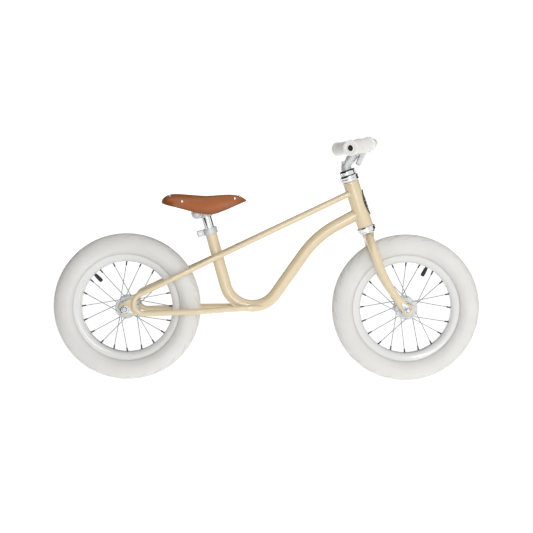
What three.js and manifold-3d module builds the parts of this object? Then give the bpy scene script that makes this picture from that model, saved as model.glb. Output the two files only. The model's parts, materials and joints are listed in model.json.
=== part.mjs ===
// A child's balance bike: bent main tube, paired stays, spoked wheels, quill stem and leather saddle.
// Millimetres. X is forward, Y is to the rider's left and Z is up. The origin is on the ground, midway
// between the two axles.
import * as THREE from 'three';
import { mergeVertices } from 'three/addons/utils/BufferGeometryUtils.js';
import Module from 'manifold-3d';

const wasm = await Module();
wasm.setup();

// Driving dimensions
const gap = 0.3; // clearance between two pieces that seat on each other
const slideGap = 0.25; // radial clearance of a tube that slides in another

const wheelbase = 602.4;
const tyreRadius = 159;
const tyreWidth = 54;
const rimRadius = 115.5;
const rimDepth = 17.5;
const rimWidth = 34;
const rimWall = 2;
const spokeCount = 20;
const spokeRadius = 1.1;
const valveRadius = 3.2;
const rearValveAngle = 135;
const frontValveAngle = 63;

const hubWidth = 75.4; // over the locknuts
const hubShellRadius = 16;
const hubShellWidth = 60;
const flangeRadius = 23.8;
const flangeSpacing = 44;
const flangeThickness = 2.8;
const axleRadius = 4.75;
const axleNutFlats = 15;
const axleNutHeight = 8;
const tabWasherThickness = 1.6;
const tabWasherRadius = 8.4;
const tabReach = 16.5;
const rearTabAngle = -32;
const frontTabAngle = 131;

const headAngle = 19.1; // degrees from vertical
const headTubeLength = 102.5;
const headTubeRadius = 17.5;
const headTubeWall = 2.5;
const forkRake = 26.1;
const crownClearance = 35.5; // from the tyre to the lower end of the head tube, along the steering axis
const steererRadius = 12.7;
const steererWall = 1.35;
const bladeRadius = 9.7;
const bladeSpread = 41;
const crownDrop = 20;
const shoulderDrop = 33;
const forkEndThickness = 5;
const forkEndRadius = 13;

const cupRadius = 20.4;
const lowerCupHeight = 10.5;
const upperStackHeight = 24;
const locknutRadius = 17.5;
const ballRadius = 1.9;
const ballCircleRadius = 15.9;

const mainTubeRadius = 12.7;
const mainTubeWall = 1.35;
const lowBendRadius = 60;
const lowBendAhead = 111.8; // from the front of the rear tyre to the centre of the low bend
const lowBendRise = 62; // from the axle height to the centre of the low bend
const seatTubeRise = 96.2; // from the centre of the low bend to the foot of the seat collar
const seatTubeSetback = 89.2;
const upperRunLength = 108.5;
const upperRunAngle = 28.8;
const upperBendRadius = 210;
const mainTubeJoint = 33; // height of the joint on the head tube

const stayRadius = 6;
const stayWall = 1.2;
const stayJoint = 80;
const stayHeadSpread = 8;
const stayWheelSpread = 41;
const stayBendRadius = 21.7;
const stayBendAhead = 40;
const stayBendRise = 11.3;
const stayWidensAt = 101; // ahead of the rear axle
const stayNarrowsAt = 160;
const dropoutThickness = 4;
const dropoutRadius = 13.5;

const collarHeight = 13.5;
const collarWall = 2.7;
const collarEarReach = 29;
const collarEarWidth = 5;
const collarSlit = 3;
const collarBoltReach = 22;
const boltRadius = 3;
const seatPostRadius = mainTubeRadius - mainTubeWall - slideGap;
const seatPostRise = 52; // above the foot of the seat collar
const seatPostDepth = 75;
const saddleClampSetback = 16.4;
const saddleClampRise = 50.8;
const saddleClampDiscRadius = 11.7;
const saddleDiscFace = 14.9; // inner face of each clamp disc, from the middle
const saddleDiscWidth = 12;
const saddleBoltRadius = 4;
const railRadius = 3.5;
const railSpacing = 42;
const railRise = 12; // above the clamp bolt
const railRear = { x: -36, y: 28 }; // where the rails meet the base behind the clamp
const railRearCorner = -12;
const railFrontCorner = 40;
const railNose = { x: 70, y: 8, drop: 3.5 };
const saddleBaseRise = 21.7; // underside of the base above the clamp bolt
const saddleBaseThickness = 3;
const saddleSkirtWall = 4;

const quillRadius = steererRadius - steererWall - slideGap;
const quillDepth = 44; // lower end of the quill above the head tube's lower end
const stemCornerRise = 36.5; // above the head tube's upper end
const stemReach = 39.7;
const stemClimb = 22.3;
const neckRadius = 9.6;
const barClampRadius = 16;
const barClampWidth = 38;
const clampSlot = 3;
const clampLugAngle = -133; // the lug hangs in front of the neck, measured from the stem's forward axis
const clampLugReach = 32;
const clampLugWidth = 20;
const clampLugThickness = 10;
const clampLugOffset = 10.5; // from the bar's centre to the middle of the lug
const clampBoltReach = 18;

const barRadius = 11.1;
const barWall = 1.8;
const barStraight = 32;
const gripShoulder = { x: 21, y: 96.6, z: 11.5 }; // bend before the grip, from the clamp's centre
const gripEnd = { x: -34.3, y: 200, z: 1.2 };
const gripLength = 94;
const gripRadius = 14;
const gripFlangeRadius = 15.5;
const gripFlangeWidth = 7;
const gripEndHole = 6;

const badgeHeight = 57;
const badgeWidth = 27;
const badgeThickness = 1.8;
const badgeCentre = 50;

// Materials
function material(color, roughness, metalness) {
  return new THREE.MeshStandardMaterial({ color, roughness, metalness });
}
const creamPaint = material(0xe6d6b0, 0.3, 0);
const whiteRubber = material(0xe4e3de, 0.75, 0);
const blackRubber = material(0x1c1c1c, 0.7, 0);
const rimPaint = material(0xd7dada, 0.3, 0.2);
const chrome = material(0xd9dcde, 0.1, 1);
const zincSteel = material(0xb9bcbe, 0.35, 1);
const badgeFinish = material(0x3c3c3c, 0.4, 0.6);
const tanLeather = material(0xaf6a41, 0.55, 0);
const darkPlastic = material(0x2a2a2a, 0.6, 0);

// Shape helpers
const degrees = THREE.MathUtils.degToRad;
const at = (x, y, z) => new THREE.Vector3(x, y, z);
const flat = (x, z) => new THREE.Vector2(x, z);

function solid(geometry) {
  const bare = geometry.clone();
  bare.deleteAttribute('normal');
  bare.deleteAttribute('uv');
  const merged = mergeVertices(bare);
  const vertProperties = new Float32Array(merged.attributes.position.array);
  const triVerts = new Uint32Array(merged.index.array);
  return new wasm.Manifold(new wasm.Mesh({ numProp: 3, vertProperties, triVerts }));
}

function surface(manifold) {
  const mesh = manifold.getMesh();
  const geometry = new THREE.BufferGeometry();
  geometry.setAttribute('position', new THREE.BufferAttribute(new Float32Array(mesh.vertProperties), 3));
  geometry.setIndex(new THREE.BufferAttribute(new Uint32Array(mesh.triVerts), 1));
  geometry.computeVertexNormals();
  return geometry;
}

const join = (first, ...others) => surface(others.reduce((sum, one) => sum.add(solid(one)), solid(first)));
const without = (rest, tool) => rest.subtract(solid(tool));
const cut = (body, ...tools) => surface(tools.reduce(without, solid(body)));
const common = (first, second) => surface(solid(first).intersect(solid(second)));

// A ring or disc turned about Y. The profile holds [radius, height] pairs, anticlockwise.
function turned(profile, segments) {
  const points = profile.map(([radius, height]) => flat(radius, height));
  points.push(points[0].clone());
  return new THREE.LatheGeometry(points, segments);
}

const turnedAboutZ = (profile, segments) => turned(profile, segments).rotateX(Math.PI / 2);
const rodAlongY = (radius, length, sides) => new THREE.CylinderGeometry(radius, radius, length, sides);
const rodAlongZ = (radius, length, sides) => rodAlongY(radius, length, sides).rotateX(Math.PI / 2);

// A ring of round section, as a row of balls sweeps out.
function ballRing(circleRadius, radius, height) {
  const sides = 6;
  const profile = [];
  for (let side = 0; side < sides; side += 1) {
    const angle = (side / sides) * 2 * Math.PI;
    profile.push([circleRadius + radius * Math.cos(angle), height + radius * Math.sin(angle)]);
  }
  return profile;
}

// A rod between two points.
function rodBetween(start, end, radius, sides) {
  const length = start.distanceTo(end);
  const direction = end.clone().sub(start).normalize();
  const turn = new THREE.Quaternion().setFromUnitVectors(at(0, 1, 0), direction);
  const middle = start.clone().add(end).multiplyScalar(0.5);
  return rodAlongY(radius, length, sides).applyQuaternion(turn).translate(middle.x, middle.y, middle.z);
}

// A flat outline given a thickness along Y, from the inner to the outer face.
function plateAlongY(shape, inner, outer, curveSegments = 6) {
  const options = { depth: outer - inner, bevelEnabled: false, curveSegments };
  return new THREE.ExtrudeGeometry(shape, options).rotateX(Math.PI / 2).translate(0, outer, 0);
}

// A bent tube's centre line: straight runs between corners, and an arc at each corner.
class BentLine extends THREE.Curve {
  constructor(corners, radii, stepDegrees = 14) {
    super();
    this.stations = [{ point: corners[0], tangent: corners[1].clone().sub(corners[0]).normalize() }];
    for (let index = 1; index < corners.length - 1; index += 1) {
      this.addBend(corners[index - 1], corners[index], corners[index + 1], radii[index - 1], stepDegrees);
    }
    const last = corners.length - 1;
    const tangent = corners[last].clone().sub(corners[last - 1]).normalize();
    this.stations.push({ point: corners[last], tangent });
  }

  addBend(before, corner, after, radius, stepDegrees) {
    const into = corner.clone().sub(before).normalize();
    const out = after.clone().sub(corner).normalize();
    const turn = into.angleTo(out);
    if (turn < 1e-4) {
      return;
    }
    const side = out.clone().addScaledVector(into, -out.dot(into)).normalize();
    const shortRun = Math.min(corner.distanceTo(before), corner.distanceTo(after)) * 0.95;
    const bend = Math.min(radius, shortRun / Math.tan(turn / 2));
    const start = corner.clone().addScaledVector(into, -bend * Math.tan(turn / 2));
    const steps = Math.max(1, Math.round(THREE.MathUtils.radToDeg(turn) / stepDegrees));
    for (let step = 0; step <= steps; step += 1) {
      const angle = (turn * step) / steps;
      const point = start.clone().addScaledVector(into, bend * Math.sin(angle));
      point.addScaledVector(side, bend * (1 - Math.cos(angle)));
      const tangent = into.clone().multiplyScalar(Math.cos(angle)).addScaledVector(side, Math.sin(angle));
      this.stations.push({ point, tangent });
    }
  }

  get steps() {
    return this.stations.length - 1;
  }

  getUtoTmapping(share) {
    return share;
  }

  getPoint(share, target = new THREE.Vector3()) {
    return target.copy(this.stations[Math.round(share * this.steps)].point);
  }

  getTangent(share, target = new THREE.Vector3()) {
    return target.copy(this.stations[Math.round(share * this.steps)].tangent);
  }
}

function polygon(radius, sides) {
  const points = [];
  for (let side = 0; side < sides; side += 1) {
    const angle = (side / sides) * 2 * Math.PI;
    points.push(flat(radius * Math.cos(angle), radius * Math.sin(angle)));
  }
  return points;
}

function tube(line, radius, sides, boreRadius = 0, boreSides = sides) {
  const section = new THREE.Shape(polygon(radius, sides));
  if (boreRadius > 0) {
    section.holes.push(new THREE.Path(polygon(boreRadius, boreSides)));
  }
  return new THREE.ExtrudeGeometry(section, { extrudePath: line, steps: line.steps, bevelEnabled: false });
}

// The corner of two straight runs that are both tangent to a circle, seen from the side (X and Z).
// The line comes from start, passes anticlockwise round the circle and leaves for end.
function tangentCorner(start, end, centre, radius) {
  const from = start.clone().sub(centre);
  const to = end.clone().sub(centre);
  const entry = Math.atan2(from.y, from.x) + Math.acos(radius / from.length());
  let exit = Math.atan2(to.y, to.x) - Math.acos(radius / to.length());
  while (exit < entry) {
    exit += 2 * Math.PI;
  }
  const middle = (entry + exit) / 2;
  const distance = radius / Math.cos((exit - entry) / 2);
  return flat(centre.x + distance * Math.cos(middle), centre.y + distance * Math.sin(middle));
}

const pointAtX = (start, end, x) => start.clone().lerp(end, (x - start.x) / (end.x - start.x));
const lift = (point, y) => at(point.x, y, point.y);

const bike = new THREE.Group();

function add(group, name, geometry, finish) {
  const mesh = new THREE.Mesh(geometry, finish);
  mesh.name = name;
  group.add(mesh);
}

// Places worked out from the driving dimensions
const rearAxle = flat(-wheelbase / 2, tyreRadius);
const frontAxle = flat(wheelbase / 2, tyreRadius);
const steeringUp = flat(-Math.sin(degrees(headAngle)), Math.cos(degrees(headAngle)));
const steeringAhead = flat(steeringUp.y, -steeringUp.x);
const forkLength = tyreRadius + crownClearance;
const headFoot = frontAxle.clone();
headFoot.addScaledVector(steeringAhead, -forkRake);
headFoot.addScaledVector(steeringUp, forkLength);
const onHeadAxis = (height) => headFoot.clone().addScaledVector(steeringUp, height);
const lowBendCentre = flat(rearAxle.x + tyreRadius + lowBendAhead, rearAxle.y + lowBendRise);
const collarFoot = flat(lowBendCentre.x - seatTubeSetback, lowBendCentre.y + seatTubeRise);
const mainJoint = onHeadAxis(mainTubeJoint);
const upperRun = flat(Math.cos(degrees(upperRunAngle)), Math.sin(degrees(upperRunAngle)));
const upperCorner = mainJoint.clone().addScaledVector(upperRun, -upperRunLength);
const lowCorner = tangentCorner(collarFoot, upperCorner, lowBendCentre, lowBendRadius);
const seatUp = collarFoot.clone().sub(lowCorner).normalize();
const seatLean = Math.atan2(-seatUp.x, seatUp.y);
const seatTubeTop = collarFoot.clone().addScaledVector(seatUp, collarHeight - 1.5);

// Steering parts share a group whose Z axis is the steering axis, from the head tube's lower end.
const steering = new THREE.Group();
steering.position.set(headFoot.x, 0, headFoot.y);
steering.rotation.y = -degrees(headAngle);
bike.add(steering);
steering.updateMatrix();

// Seat parts share a group whose Z axis is the seat tube's, from the foot of the collar.
const seat = new THREE.Group();
seat.position.set(collarFoot.x, 0, collarFoot.y);
seat.rotation.y = -seatLean;
bike.add(seat);
seat.updateMatrix();

const inSteeringFrame = (geometry) => geometry.applyMatrix4(steering.matrix);
const inSeatFrame = (geometry) => geometry.applyMatrix4(seat.matrix);

// Frame
function headTubeSpace() {
  const rod = rodAlongZ(headTubeRadius + gap, headTubeLength + 20, 24);
  return inSteeringFrame(rod.translate(0, 0, headTubeLength / 2));
}

function makeMainTube() {
  const corners = [seatTubeTop, lowCorner, upperCorner, mainJoint].map((point) => lift(point, 0));
  const line = new BentLine(corners, [lowBendRadius, upperBendRadius], 11);
  const bore = mainTubeRadius - mainTubeWall;
  const slitDepth = 26;
  const slit = new THREE.BoxGeometry(mainTubeRadius * 2, collarSlit - 1, slitDepth);
  slit.translate(-mainTubeRadius, 0, collarHeight - slitDepth / 2);
  const geometry = cut(tube(line, mainTubeRadius, 16, bore, 20), headTubeSpace(), inSeatFrame(slit));
  add(bike, 'main_tube', geometry, creamPaint);
}

function makeHeadTube() {
  const bore = headTubeRadius - headTubeWall;
  const profile = [[headTubeRadius, 0], [headTubeRadius, headTubeLength], [bore, headTubeLength], [bore, 0]];
  add(steering, 'head_tube', turnedAboutZ(profile, 24), creamPaint);
}

function makeHeadBadge() {
  const inner = headTubeRadius + gap;
  const outer = inner + badgeThickness;
  const half = badgeHeight / 2;
  const skin = turnedAboutZ([[outer, -half], [outer, half], [inner, half], [inner, -half]], 32);
  const oval = new THREE.CylinderGeometry(1, 1, outer * 2, 20).rotateZ(Math.PI / 2);
  oval.scale(1, badgeWidth / 2, half).translate(outer, 0, 0);
  const badge = common(skin, oval).translate(0, 0, badgeCentre);
  add(steering, 'head_badge', badge, badgeFinish);
}

const stayBendCentre = flat(rearAxle.x + stayBendAhead, rearAxle.y + stayBendRise);
const staySeatSpread = mainTubeRadius + stayRadius + 0.4;

function stayLine(side) {
  const head = onHeadAxis(stayJoint);
  const foot = flat(lowBendCentre.x, lowBendCentre.y - lowBendRadius - 2);
  const rear = tangentCorner(head, foot, stayBendCentre, stayBendRadius);
  const seatX = collarFoot.x + Math.sin(seatLean) * 49.4;
  const corners = [
    lift(head, side * stayHeadSpread),
    lift(pointAtX(head, rear, seatX), side * staySeatSpread),
    lift(pointAtX(head, rear, rearAxle.x + stayWidensAt), side * stayWheelSpread),
    lift(rear, side * stayWheelSpread),
    lift(pointAtX(rear, foot, rearAxle.x + stayNarrowsAt), side * stayWheelSpread),
    lift(pointAtX(rear, foot, foot.x - 24), side * staySeatSpread),
    lift(foot, side * staySeatSpread),
  ];
  return new BentLine(corners, [80, 80, stayBendRadius, 60, 60]);
}

function makeStay(name, side) {
  const geometry = tube(stayLine(side), stayRadius, 8, stayRadius - stayWall, 6);
  add(bike, name, cut(geometry, headTubeSpace()), creamPaint);
}

// A plate behind the stay's bend, round about the axle, with a slot open to the rear.
function makeDropout(name, side) {
  const toBend = flat(stayBendAhead, stayBendRise);
  const bearing = Math.atan2(toBend.y, toBend.x);
  const bendEdge = stayBendRadius + stayRadius - 1;
  const spread = Math.acos((dropoutRadius - bendEdge) / toBend.length());
  const outline = new THREE.Shape();
  outline.absarc(0, 0, dropoutRadius, bearing + spread, bearing - spread + 2 * Math.PI, false);
  outline.absarc(toBend.x, toBend.y, bendEdge, bearing - spread, bearing + spread, false);
  const inner = hubWidth / 2 + gap;
  const plate = plateAlongY(outline, inner, inner + dropoutThickness, 7);
  const depth = dropoutThickness * 3;
  const middle = inner + dropoutThickness / 2;
  const bend = rodAlongY(stayBendRadius + stayRadius + gap, depth, 28).translate(toBend.x, middle, toBend.y);
  const slotWidth = 2 * (axleRadius + gap);
  const slot = new THREE.BoxGeometry(dropoutRadius * 2, depth, slotWidth);
  slot.translate(-dropoutRadius, 0, 0).rotateY(-degrees(20)).translate(0, middle, 0);
  const hole = rodAlongY(slotWidth / 2, depth, 16).translate(0, middle, 0);
  const geometry = cut(plate, bend, slot, hole);
  if (side < 0) {
    geometry.translate(0, -2 * middle, 0);
  }
  add(bike, name, geometry.translate(rearAxle.x, 0, rearAxle.y), creamPaint);
}

// Headset
const raceBore = steererRadius + slideGap;
const cupBore = steererRadius + 0.7;
const cupHollow = ballCircleRadius + ballRadius + 0.2;
const skirtRadius = headTubeRadius - headTubeWall - gap;
const skirtBore = skirtRadius - 1.2;
const skirtLength = 8;

function makeHeadset() {
  const lowerCup = [
    [cupRadius, -lowerCupHeight], [cupRadius, -gap], [skirtRadius, -gap], [skirtRadius, skirtLength],
    [skirtBore, skirtLength], [skirtBore, -4.2], [cupHollow, -4.2], [cupHollow, -lowerCupHeight],
  ];
  add(steering, 'lower_headset_cup', turnedAboutZ(lowerCup, 20), chrome);
  const lowerBalls = ballRing(ballCircleRadius, ballRadius, -6.6);
  add(steering, 'lower_ball_ring', turnedAboutZ(lowerBalls, 14), zincSteel);
  const raceRadius = cupHollow - 0.5;
  const crownRace = [[raceBore, -13.6], [raceRadius, -13.6], [raceRadius, -10.9], [ballCircleRadius, -8.8],
    [raceBore, -8.8]];
  add(steering, 'crown_race', turnedAboutZ(crownRace, 20), chrome);
  const top = headTubeLength;
  const upperCup = [
    [skirtRadius, top - skirtLength], [skirtRadius, top + gap], [cupRadius, top + gap], [cupRadius, top + 6.6],
    [cupHollow, top + 6.6], [cupHollow, top + 2.6], [skirtBore, top + 2.6], [skirtBore, top - skirtLength],
  ];
  add(steering, 'upper_headset_cup', turnedAboutZ(upperCup, 20), chrome);
  const upperBalls = ballRing(ballCircleRadius, ballRadius, top + 4.9);
  add(steering, 'upper_ball_ring', turnedAboutZ(upperBalls, 14), zincSteel);
  const race = [[raceBore, top + 7.1], [cupRadius, top + 7.1], [cupRadius - 0.6, top + 12.6],
    [raceBore, top + 12.6]];
  add(steering, 'adjusting_race', turnedAboutZ(race, 20), chrome);
  const stackTop = top + upperStackHeight;
  const lip = 2.1;
  const quillHole = quillRadius + 0.5;
  const locknut = [
    [raceBore, top + 13.2], [locknutRadius, top + 13.2], [locknutRadius, stackTop], [quillHole, stackTop],
    [quillHole, stackTop - lip], [raceBore, stackTop - lip],
  ];
  add(steering, 'headset_locknut', turnedAboutZ(locknut, 20), chrome);
}

// Fork
const forkAxleHeight = -forkLength;

function bladeLine(side) {
  const curveStart = -70;
  const drop = curveStart - forkAxleHeight;
  const setback = -2;
  const rise = forkRake - setback;
  const curveRadius = (drop * drop + rise * rise) / (2 * rise);
  const corners = [
    at(0, 0, -crownDrop),
    at(setback, side * bladeSpread, -shoulderDrop),
    at(setback, side * bladeSpread, curveStart),
  ];
  const upper = new BentLine(corners, [30], 18);
  const sweep = Math.asin(drop / curveRadius);
  const steps = 7;
  const bladeEnd = 0.88; // the blade stops short of the axle and the flat end carries on
  upper.stations.pop();
  for (let step = 0; step <= steps; step += 1) {
    const angle = (sweep * bladeEnd * step) / steps;
    const x = setback + curveRadius * (1 - Math.cos(angle));
    const z = curveStart - curveRadius * Math.sin(angle);
    const tangent = at(Math.sin(angle), 0, -Math.cos(angle));
    upper.stations.push({ point: at(x, side * bladeSpread, z), tangent });
  }
  return upper;
}

function forkEnd(side) {
  const neck = at(forkRake - 13, 0, forkAxleHeight + 27);
  const reach = flat(neck.x - forkRake, neck.z - forkAxleHeight);
  const bearing = Math.atan2(reach.y, reach.x);
  const neckHalf = bladeRadius - 1.5;
  const spread = Math.acos((forkEndRadius - neckHalf) / reach.length());
  const outline = new THREE.Shape();
  outline.absarc(0, 0, forkEndRadius, bearing + spread, bearing - spread + 2 * Math.PI, false);
  outline.absarc(reach.x, reach.y, neckHalf, bearing - spread, bearing + spread, false);
  const hole = new THREE.Path();
  hole.absarc(0, 0, axleRadius + gap, 0, 2 * Math.PI, true);
  outline.holes.push(hole);
  const inner = hubWidth / 2 + gap;
  const near = side > 0 ? inner : -inner - forkEndThickness;
  return plateAlongY(outline, near, near + forkEndThickness, 6).translate(forkRake, 0, forkAxleHeight);
}

function makeFork() {
  const steererTop = headTubeLength + upperStackHeight - 2.4;
  const steererFoot = -crownDrop - 2;
  const steererLength = steererTop - steererFoot;
  const steererMiddle = steererFoot + steererLength / 2;
  const steerer = rodAlongZ(steererRadius, steererLength, 20).translate(0, 0, steererMiddle);
  const boreFoot = 5;
  const boreRadius = steererRadius - steererWall;
  const bore = rodAlongZ(boreRadius, steererLength, 20).translate(0, 0, boreFoot + steererLength / 2);
  const raceSeat = rodAlongZ(cupRadius + 4, 14, 20).translate(0, 0, -13.9 + 7);
  const blades = [1, -1].map((side) => tube(bladeLine(side), bladeRadius, 12));
  const crown = cut(join(...blades), raceSeat);
  const washerSpace = rodAlongY(tabReach + 4.5, 4 * bladeSpread, 20).translate(forkRake, 0, forkAxleHeight);
  const geometry = cut(join(crown, steerer), bore, washerSpace);
  add(steering, 'fork', join(geometry, forkEnd(1), forkEnd(-1)), creamPaint);
}

// Axles
function nutShape(flats, hole) {
  const outline = new THREE.Shape(polygon(flats / Math.sqrt(3), 6));
  outline.holes.push(new THREE.Path(polygon(hole, 12)));
  return outline;
}

function tabWasherShape(angle) {
  const tabHalf = 2.6;
  const spread = Math.acos((tabWasherRadius - tabHalf) / tabReach);
  const outline = new THREE.Shape();
  const bearing = degrees(angle);
  const tip = flat(tabReach * Math.cos(bearing), tabReach * Math.sin(bearing));
  outline.absarc(0, 0, tabWasherRadius, bearing + spread, bearing - spread + 2 * Math.PI, false);
  outline.absarc(tip.x, tip.y, tabHalf, bearing - spread, bearing + spread, false);
  outline.holes.push(new THREE.Path(polygon(axleRadius + gap, 12)));
  return outline;
}

function makeAxle(end, axle, plateThickness, tabAngle) {
  const group = new THREE.Group();
  group.position.set(axle.x, 0, axle.y);
  bike.add(group);
  const plateFace = hubWidth / 2 + gap + plateThickness;
  const washerFace = plateFace + gap;
  const nutFace = washerFace + tabWasherThickness + gap;
  const axleHalf = nutFace + axleNutHeight + 2;
  add(group, `${end}_axle`, rodAlongY(axleRadius, axleHalf * 2, 12), zincSteel);
  for (const [hand, side] of [['left', 1], ['right', -1]]) {
    const span = (near, thickness) => (side > 0 ? [near, near + thickness] : [-near - thickness, -near]);
    const washer = plateAlongY(tabWasherShape(tabAngle), ...span(washerFace, tabWasherThickness), 3);
    add(group, `${hand}_${end}_tab_washer`, washer, zincSteel);
    const nut = plateAlongY(nutShape(axleNutFlats, axleRadius + slideGap), ...span(nutFace, axleNutHeight));
    add(group, `${hand}_${end}_axle_nut`, nut, zincSteel);
    const bore = axleRadius + slideGap;
    const coneFace = hubWidth / 2;
    const profile = [[bore, 22.5], [7.6, 22.5], [7.6, 28], [10, 31], [10, coneFace], [bore, coneFace]];
    const cone = turned(profile, 12);
    if (side < 0) {
      cone.rotateX(Math.PI);
    }
    add(group, `${hand}_${end}_cone`, cone, zincSteel);
  }
}

// Wheels
const wheelSegments = 28;
const rimFoot = rimRadius - rimDepth;
const rimLip = rimWidth / 2;

const mirrored = (half) => {
  const lower = half.map(([radius, height]) => [radius, -height]);
  return [...lower, ...half.slice().reverse()];
};

function tyreProfile() {
  const half = tyreWidth / 2;
  const beadOuter = rimLip - rimWall - 0.4;
  const shoulder = tyreRadius - 5.5;
  const outer = [
    [rimFoot + 5.5, beadOuter - 2.3], [rimRadius + gap, beadOuter], [rimRadius + 3, half - 5.5],
    [rimRadius + 16.5, half], [rimRadius + 28, half - 2.5], [shoulder, half - 8.5], [tyreRadius, half - 19],
  ];
  const inner = [
    [rimFoot + 5.5, beadOuter - 5.6], [rimRadius - 2.5, beadOuter - 2.1], [rimRadius + 8, half - 6],
    [rimRadius + 22, half - 4.5], [tyreRadius - 7, half - 14],
  ];
  return [...mirrored(outer), ...mirrored(inner).reverse()];
}

function rimProfile() {
  const base = rimLip - 9;
  const outer = [[rimFoot, base], [rimFoot + 8, rimLip - 1.2], [rimRadius, rimLip]];
  const inner = [[rimFoot + rimWall, base - 0.6], [rimFoot + 4, rimLip - rimWall - 2.6],
    [rimRadius, rimLip - rimWall]];
  // The section is a channel that opens outward: across its floor and up both walls.
  const channel = (half) => [...half.map(([radius, height]) => [radius, -height]).reverse(), ...half];
  return [...channel(inner), ...channel(outer).reverse()];
}

function radialRod(radius, innerEnd, outerEnd, angle, sides) {
  const direction = at(Math.cos(degrees(angle)), 0, Math.sin(degrees(angle)));
  const start = direction.clone().multiplyScalar(innerEnd);
  return rodBetween(start, direction.multiplyScalar(outerEnd), radius, sides);
}

function makeInnerTube(valveAngle) {
  const tubeRadius = 17.5;
  const wall = 1.5;
  const centre = rimFoot + 29.5;
  const skin = turned(ballRing(centre, tubeRadius, 0), 16);
  const hollow = turned(ballRing(centre, tubeRadius - wall, 0), 16);
  const stem = radialRod(valveRadius, rimFoot - 18, centre - tubeRadius + 3, valveAngle, 8);
  const bore = radialRod(valveRadius - 1.6, rimFoot - 19, centre, valveAngle, 6);
  return cut(join(skin, stem), hollow, bore);
}

function makeValveCap(valveAngle) {
  const shell = radialRod(valveRadius + 1, rimFoot - 21, rimFoot - 3, valveAngle, 10);
  const hollow = radialRod(valveRadius + gap, rimFoot - 18.6, rimFoot, valveAngle, 10);
  return cut(shell, hollow);
}

function makeHub() {
  const half = hubShellWidth / 2;
  const flangeOuter = flangeSpacing / 2 + flangeThickness / 2;
  const flangeInner = flangeOuter - flangeThickness;
  const ballBore = 13.1;
  const upper = [
    [13, flangeInner], [flangeRadius, flangeInner], [flangeRadius, flangeOuter], [hubShellRadius, flangeOuter],
    [hubShellRadius, half],
  ];
  const bore = [[axleRadius + 2.2, 19], [ballBore, 19], [ballBore, half]];
  const mirror = (points) => points.map(([radius, height]) => [radius, -height]).reverse();
  const profile = [...mirror(upper), ...upper, ...bore.slice().reverse(), ...mirror(bore).reverse()];
  let hub = solid(turned(profile, 16));
  const pitch = 360 / spokeCount;
  const holeCircle = flangeRadius - 3.2;
  const cross = 2 * pitch;
  for (let index = 0; index < spokeCount; index += 1) {
    const side = index % 2 === 0 ? 1 : -1;
    const lead = Math.floor(index / 2) % 2 === 0 ? 1 : -1;
    const rimAngle = degrees(index * pitch);
    const hubAngle = degrees(index * pitch + lead * cross);
    const flange = (side * flangeSpacing) / 2;
    const start = at(holeCircle * Math.cos(hubAngle), flange, holeCircle * Math.sin(hubAngle));
    const reach = rimFoot * Math.cos(Math.PI / wheelSegments) - gap;
    const end = at(reach * Math.cos(rimAngle), side * 2, reach * Math.sin(rimAngle));
    hub = hub.add(solid(rodBetween(start, end, spokeRadius, 4)));
  }
  return surface(hub);
}

function makeWheel(end, axle, valveAngle) {
  const group = new THREE.Group();
  group.position.set(axle.x, 0, axle.y);
  bike.add(group);
  add(group, `${end}_tyre`, turned(tyreProfile(), wheelSegments), whiteRubber);
  add(group, `${end}_inner_tube`, makeInnerTube(valveAngle), blackRubber);
  add(group, `${end}_valve_cap`, makeValveCap(valveAngle), blackRubber);
  const valveHole = radialRod(valveRadius + gap, rimFoot - 5, rimFoot + 8, valveAngle, 10);
  add(group, `${end}_rim`, cut(turned(rimProfile(), wheelSegments), valveHole), rimPaint);
  add(group, `${end}_hub_and_spokes`, makeHub(), chrome);
  for (const [hand, side] of [['left', 1], ['right', -1]]) {
    const balls = turned(ballRing(10.4, 2.3, side * 25.5), 12);
    add(group, `${hand}_${end}_ball_ring`, balls, zincSteel);
  }
}

// Seat
function makeSeatCollar() {
  const bore = mainTubeRadius + gap;
  const outer = bore + collarWall;
  const lipFoot = collarHeight - 1.2;
  const profile = [[bore, 0], [outer, 0], [outer, collarHeight], [seatPostRadius + 0.4, collarHeight],
    [seatPostRadius + 0.4, lipFoot], [bore, lipFoot]];
  const ring = turnedAboutZ(profile, 24);
  const earWidth = collarSlit + 2 * collarEarWidth;
  const earLength = collarEarReach - bore - 0.5;
  const ears = new THREE.BoxGeometry(earLength, earWidth, collarHeight);
  ears.translate(-collarEarReach + earLength / 2, 0, collarHeight / 2);
  const slit = new THREE.BoxGeometry(collarEarReach, collarSlit, collarHeight * 2);
  slit.translate(-collarEarReach / 2 - seatPostRadius + 2, 0, collarHeight / 2);
  const boltHole = rodAlongY(boltRadius + gap, 40, 12).translate(-collarBoltReach, 0, collarHeight / 2);
  add(seat, 'seat_collar', cut(join(ring, ears), slit, boltHole), chrome);
  const headFace = earWidth / 2 + gap;
  const shankHalf = headFace + 5;
  const shank = rodAlongY(boltRadius, 2 * shankHalf, 10);
  const head = rodAlongY(boltRadius + 2, 4, 10).translate(0, -headFace - 2, 0);
  const tail = rodAlongY(boltRadius + 1.6, 4, 6).translate(0, headFace + 2, 0);
  const bolt = join(shank, head, tail).translate(-collarBoltReach, 0, collarHeight / 2);
  add(seat, 'seat_collar_bolt', bolt, zincSteel);
}

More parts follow.
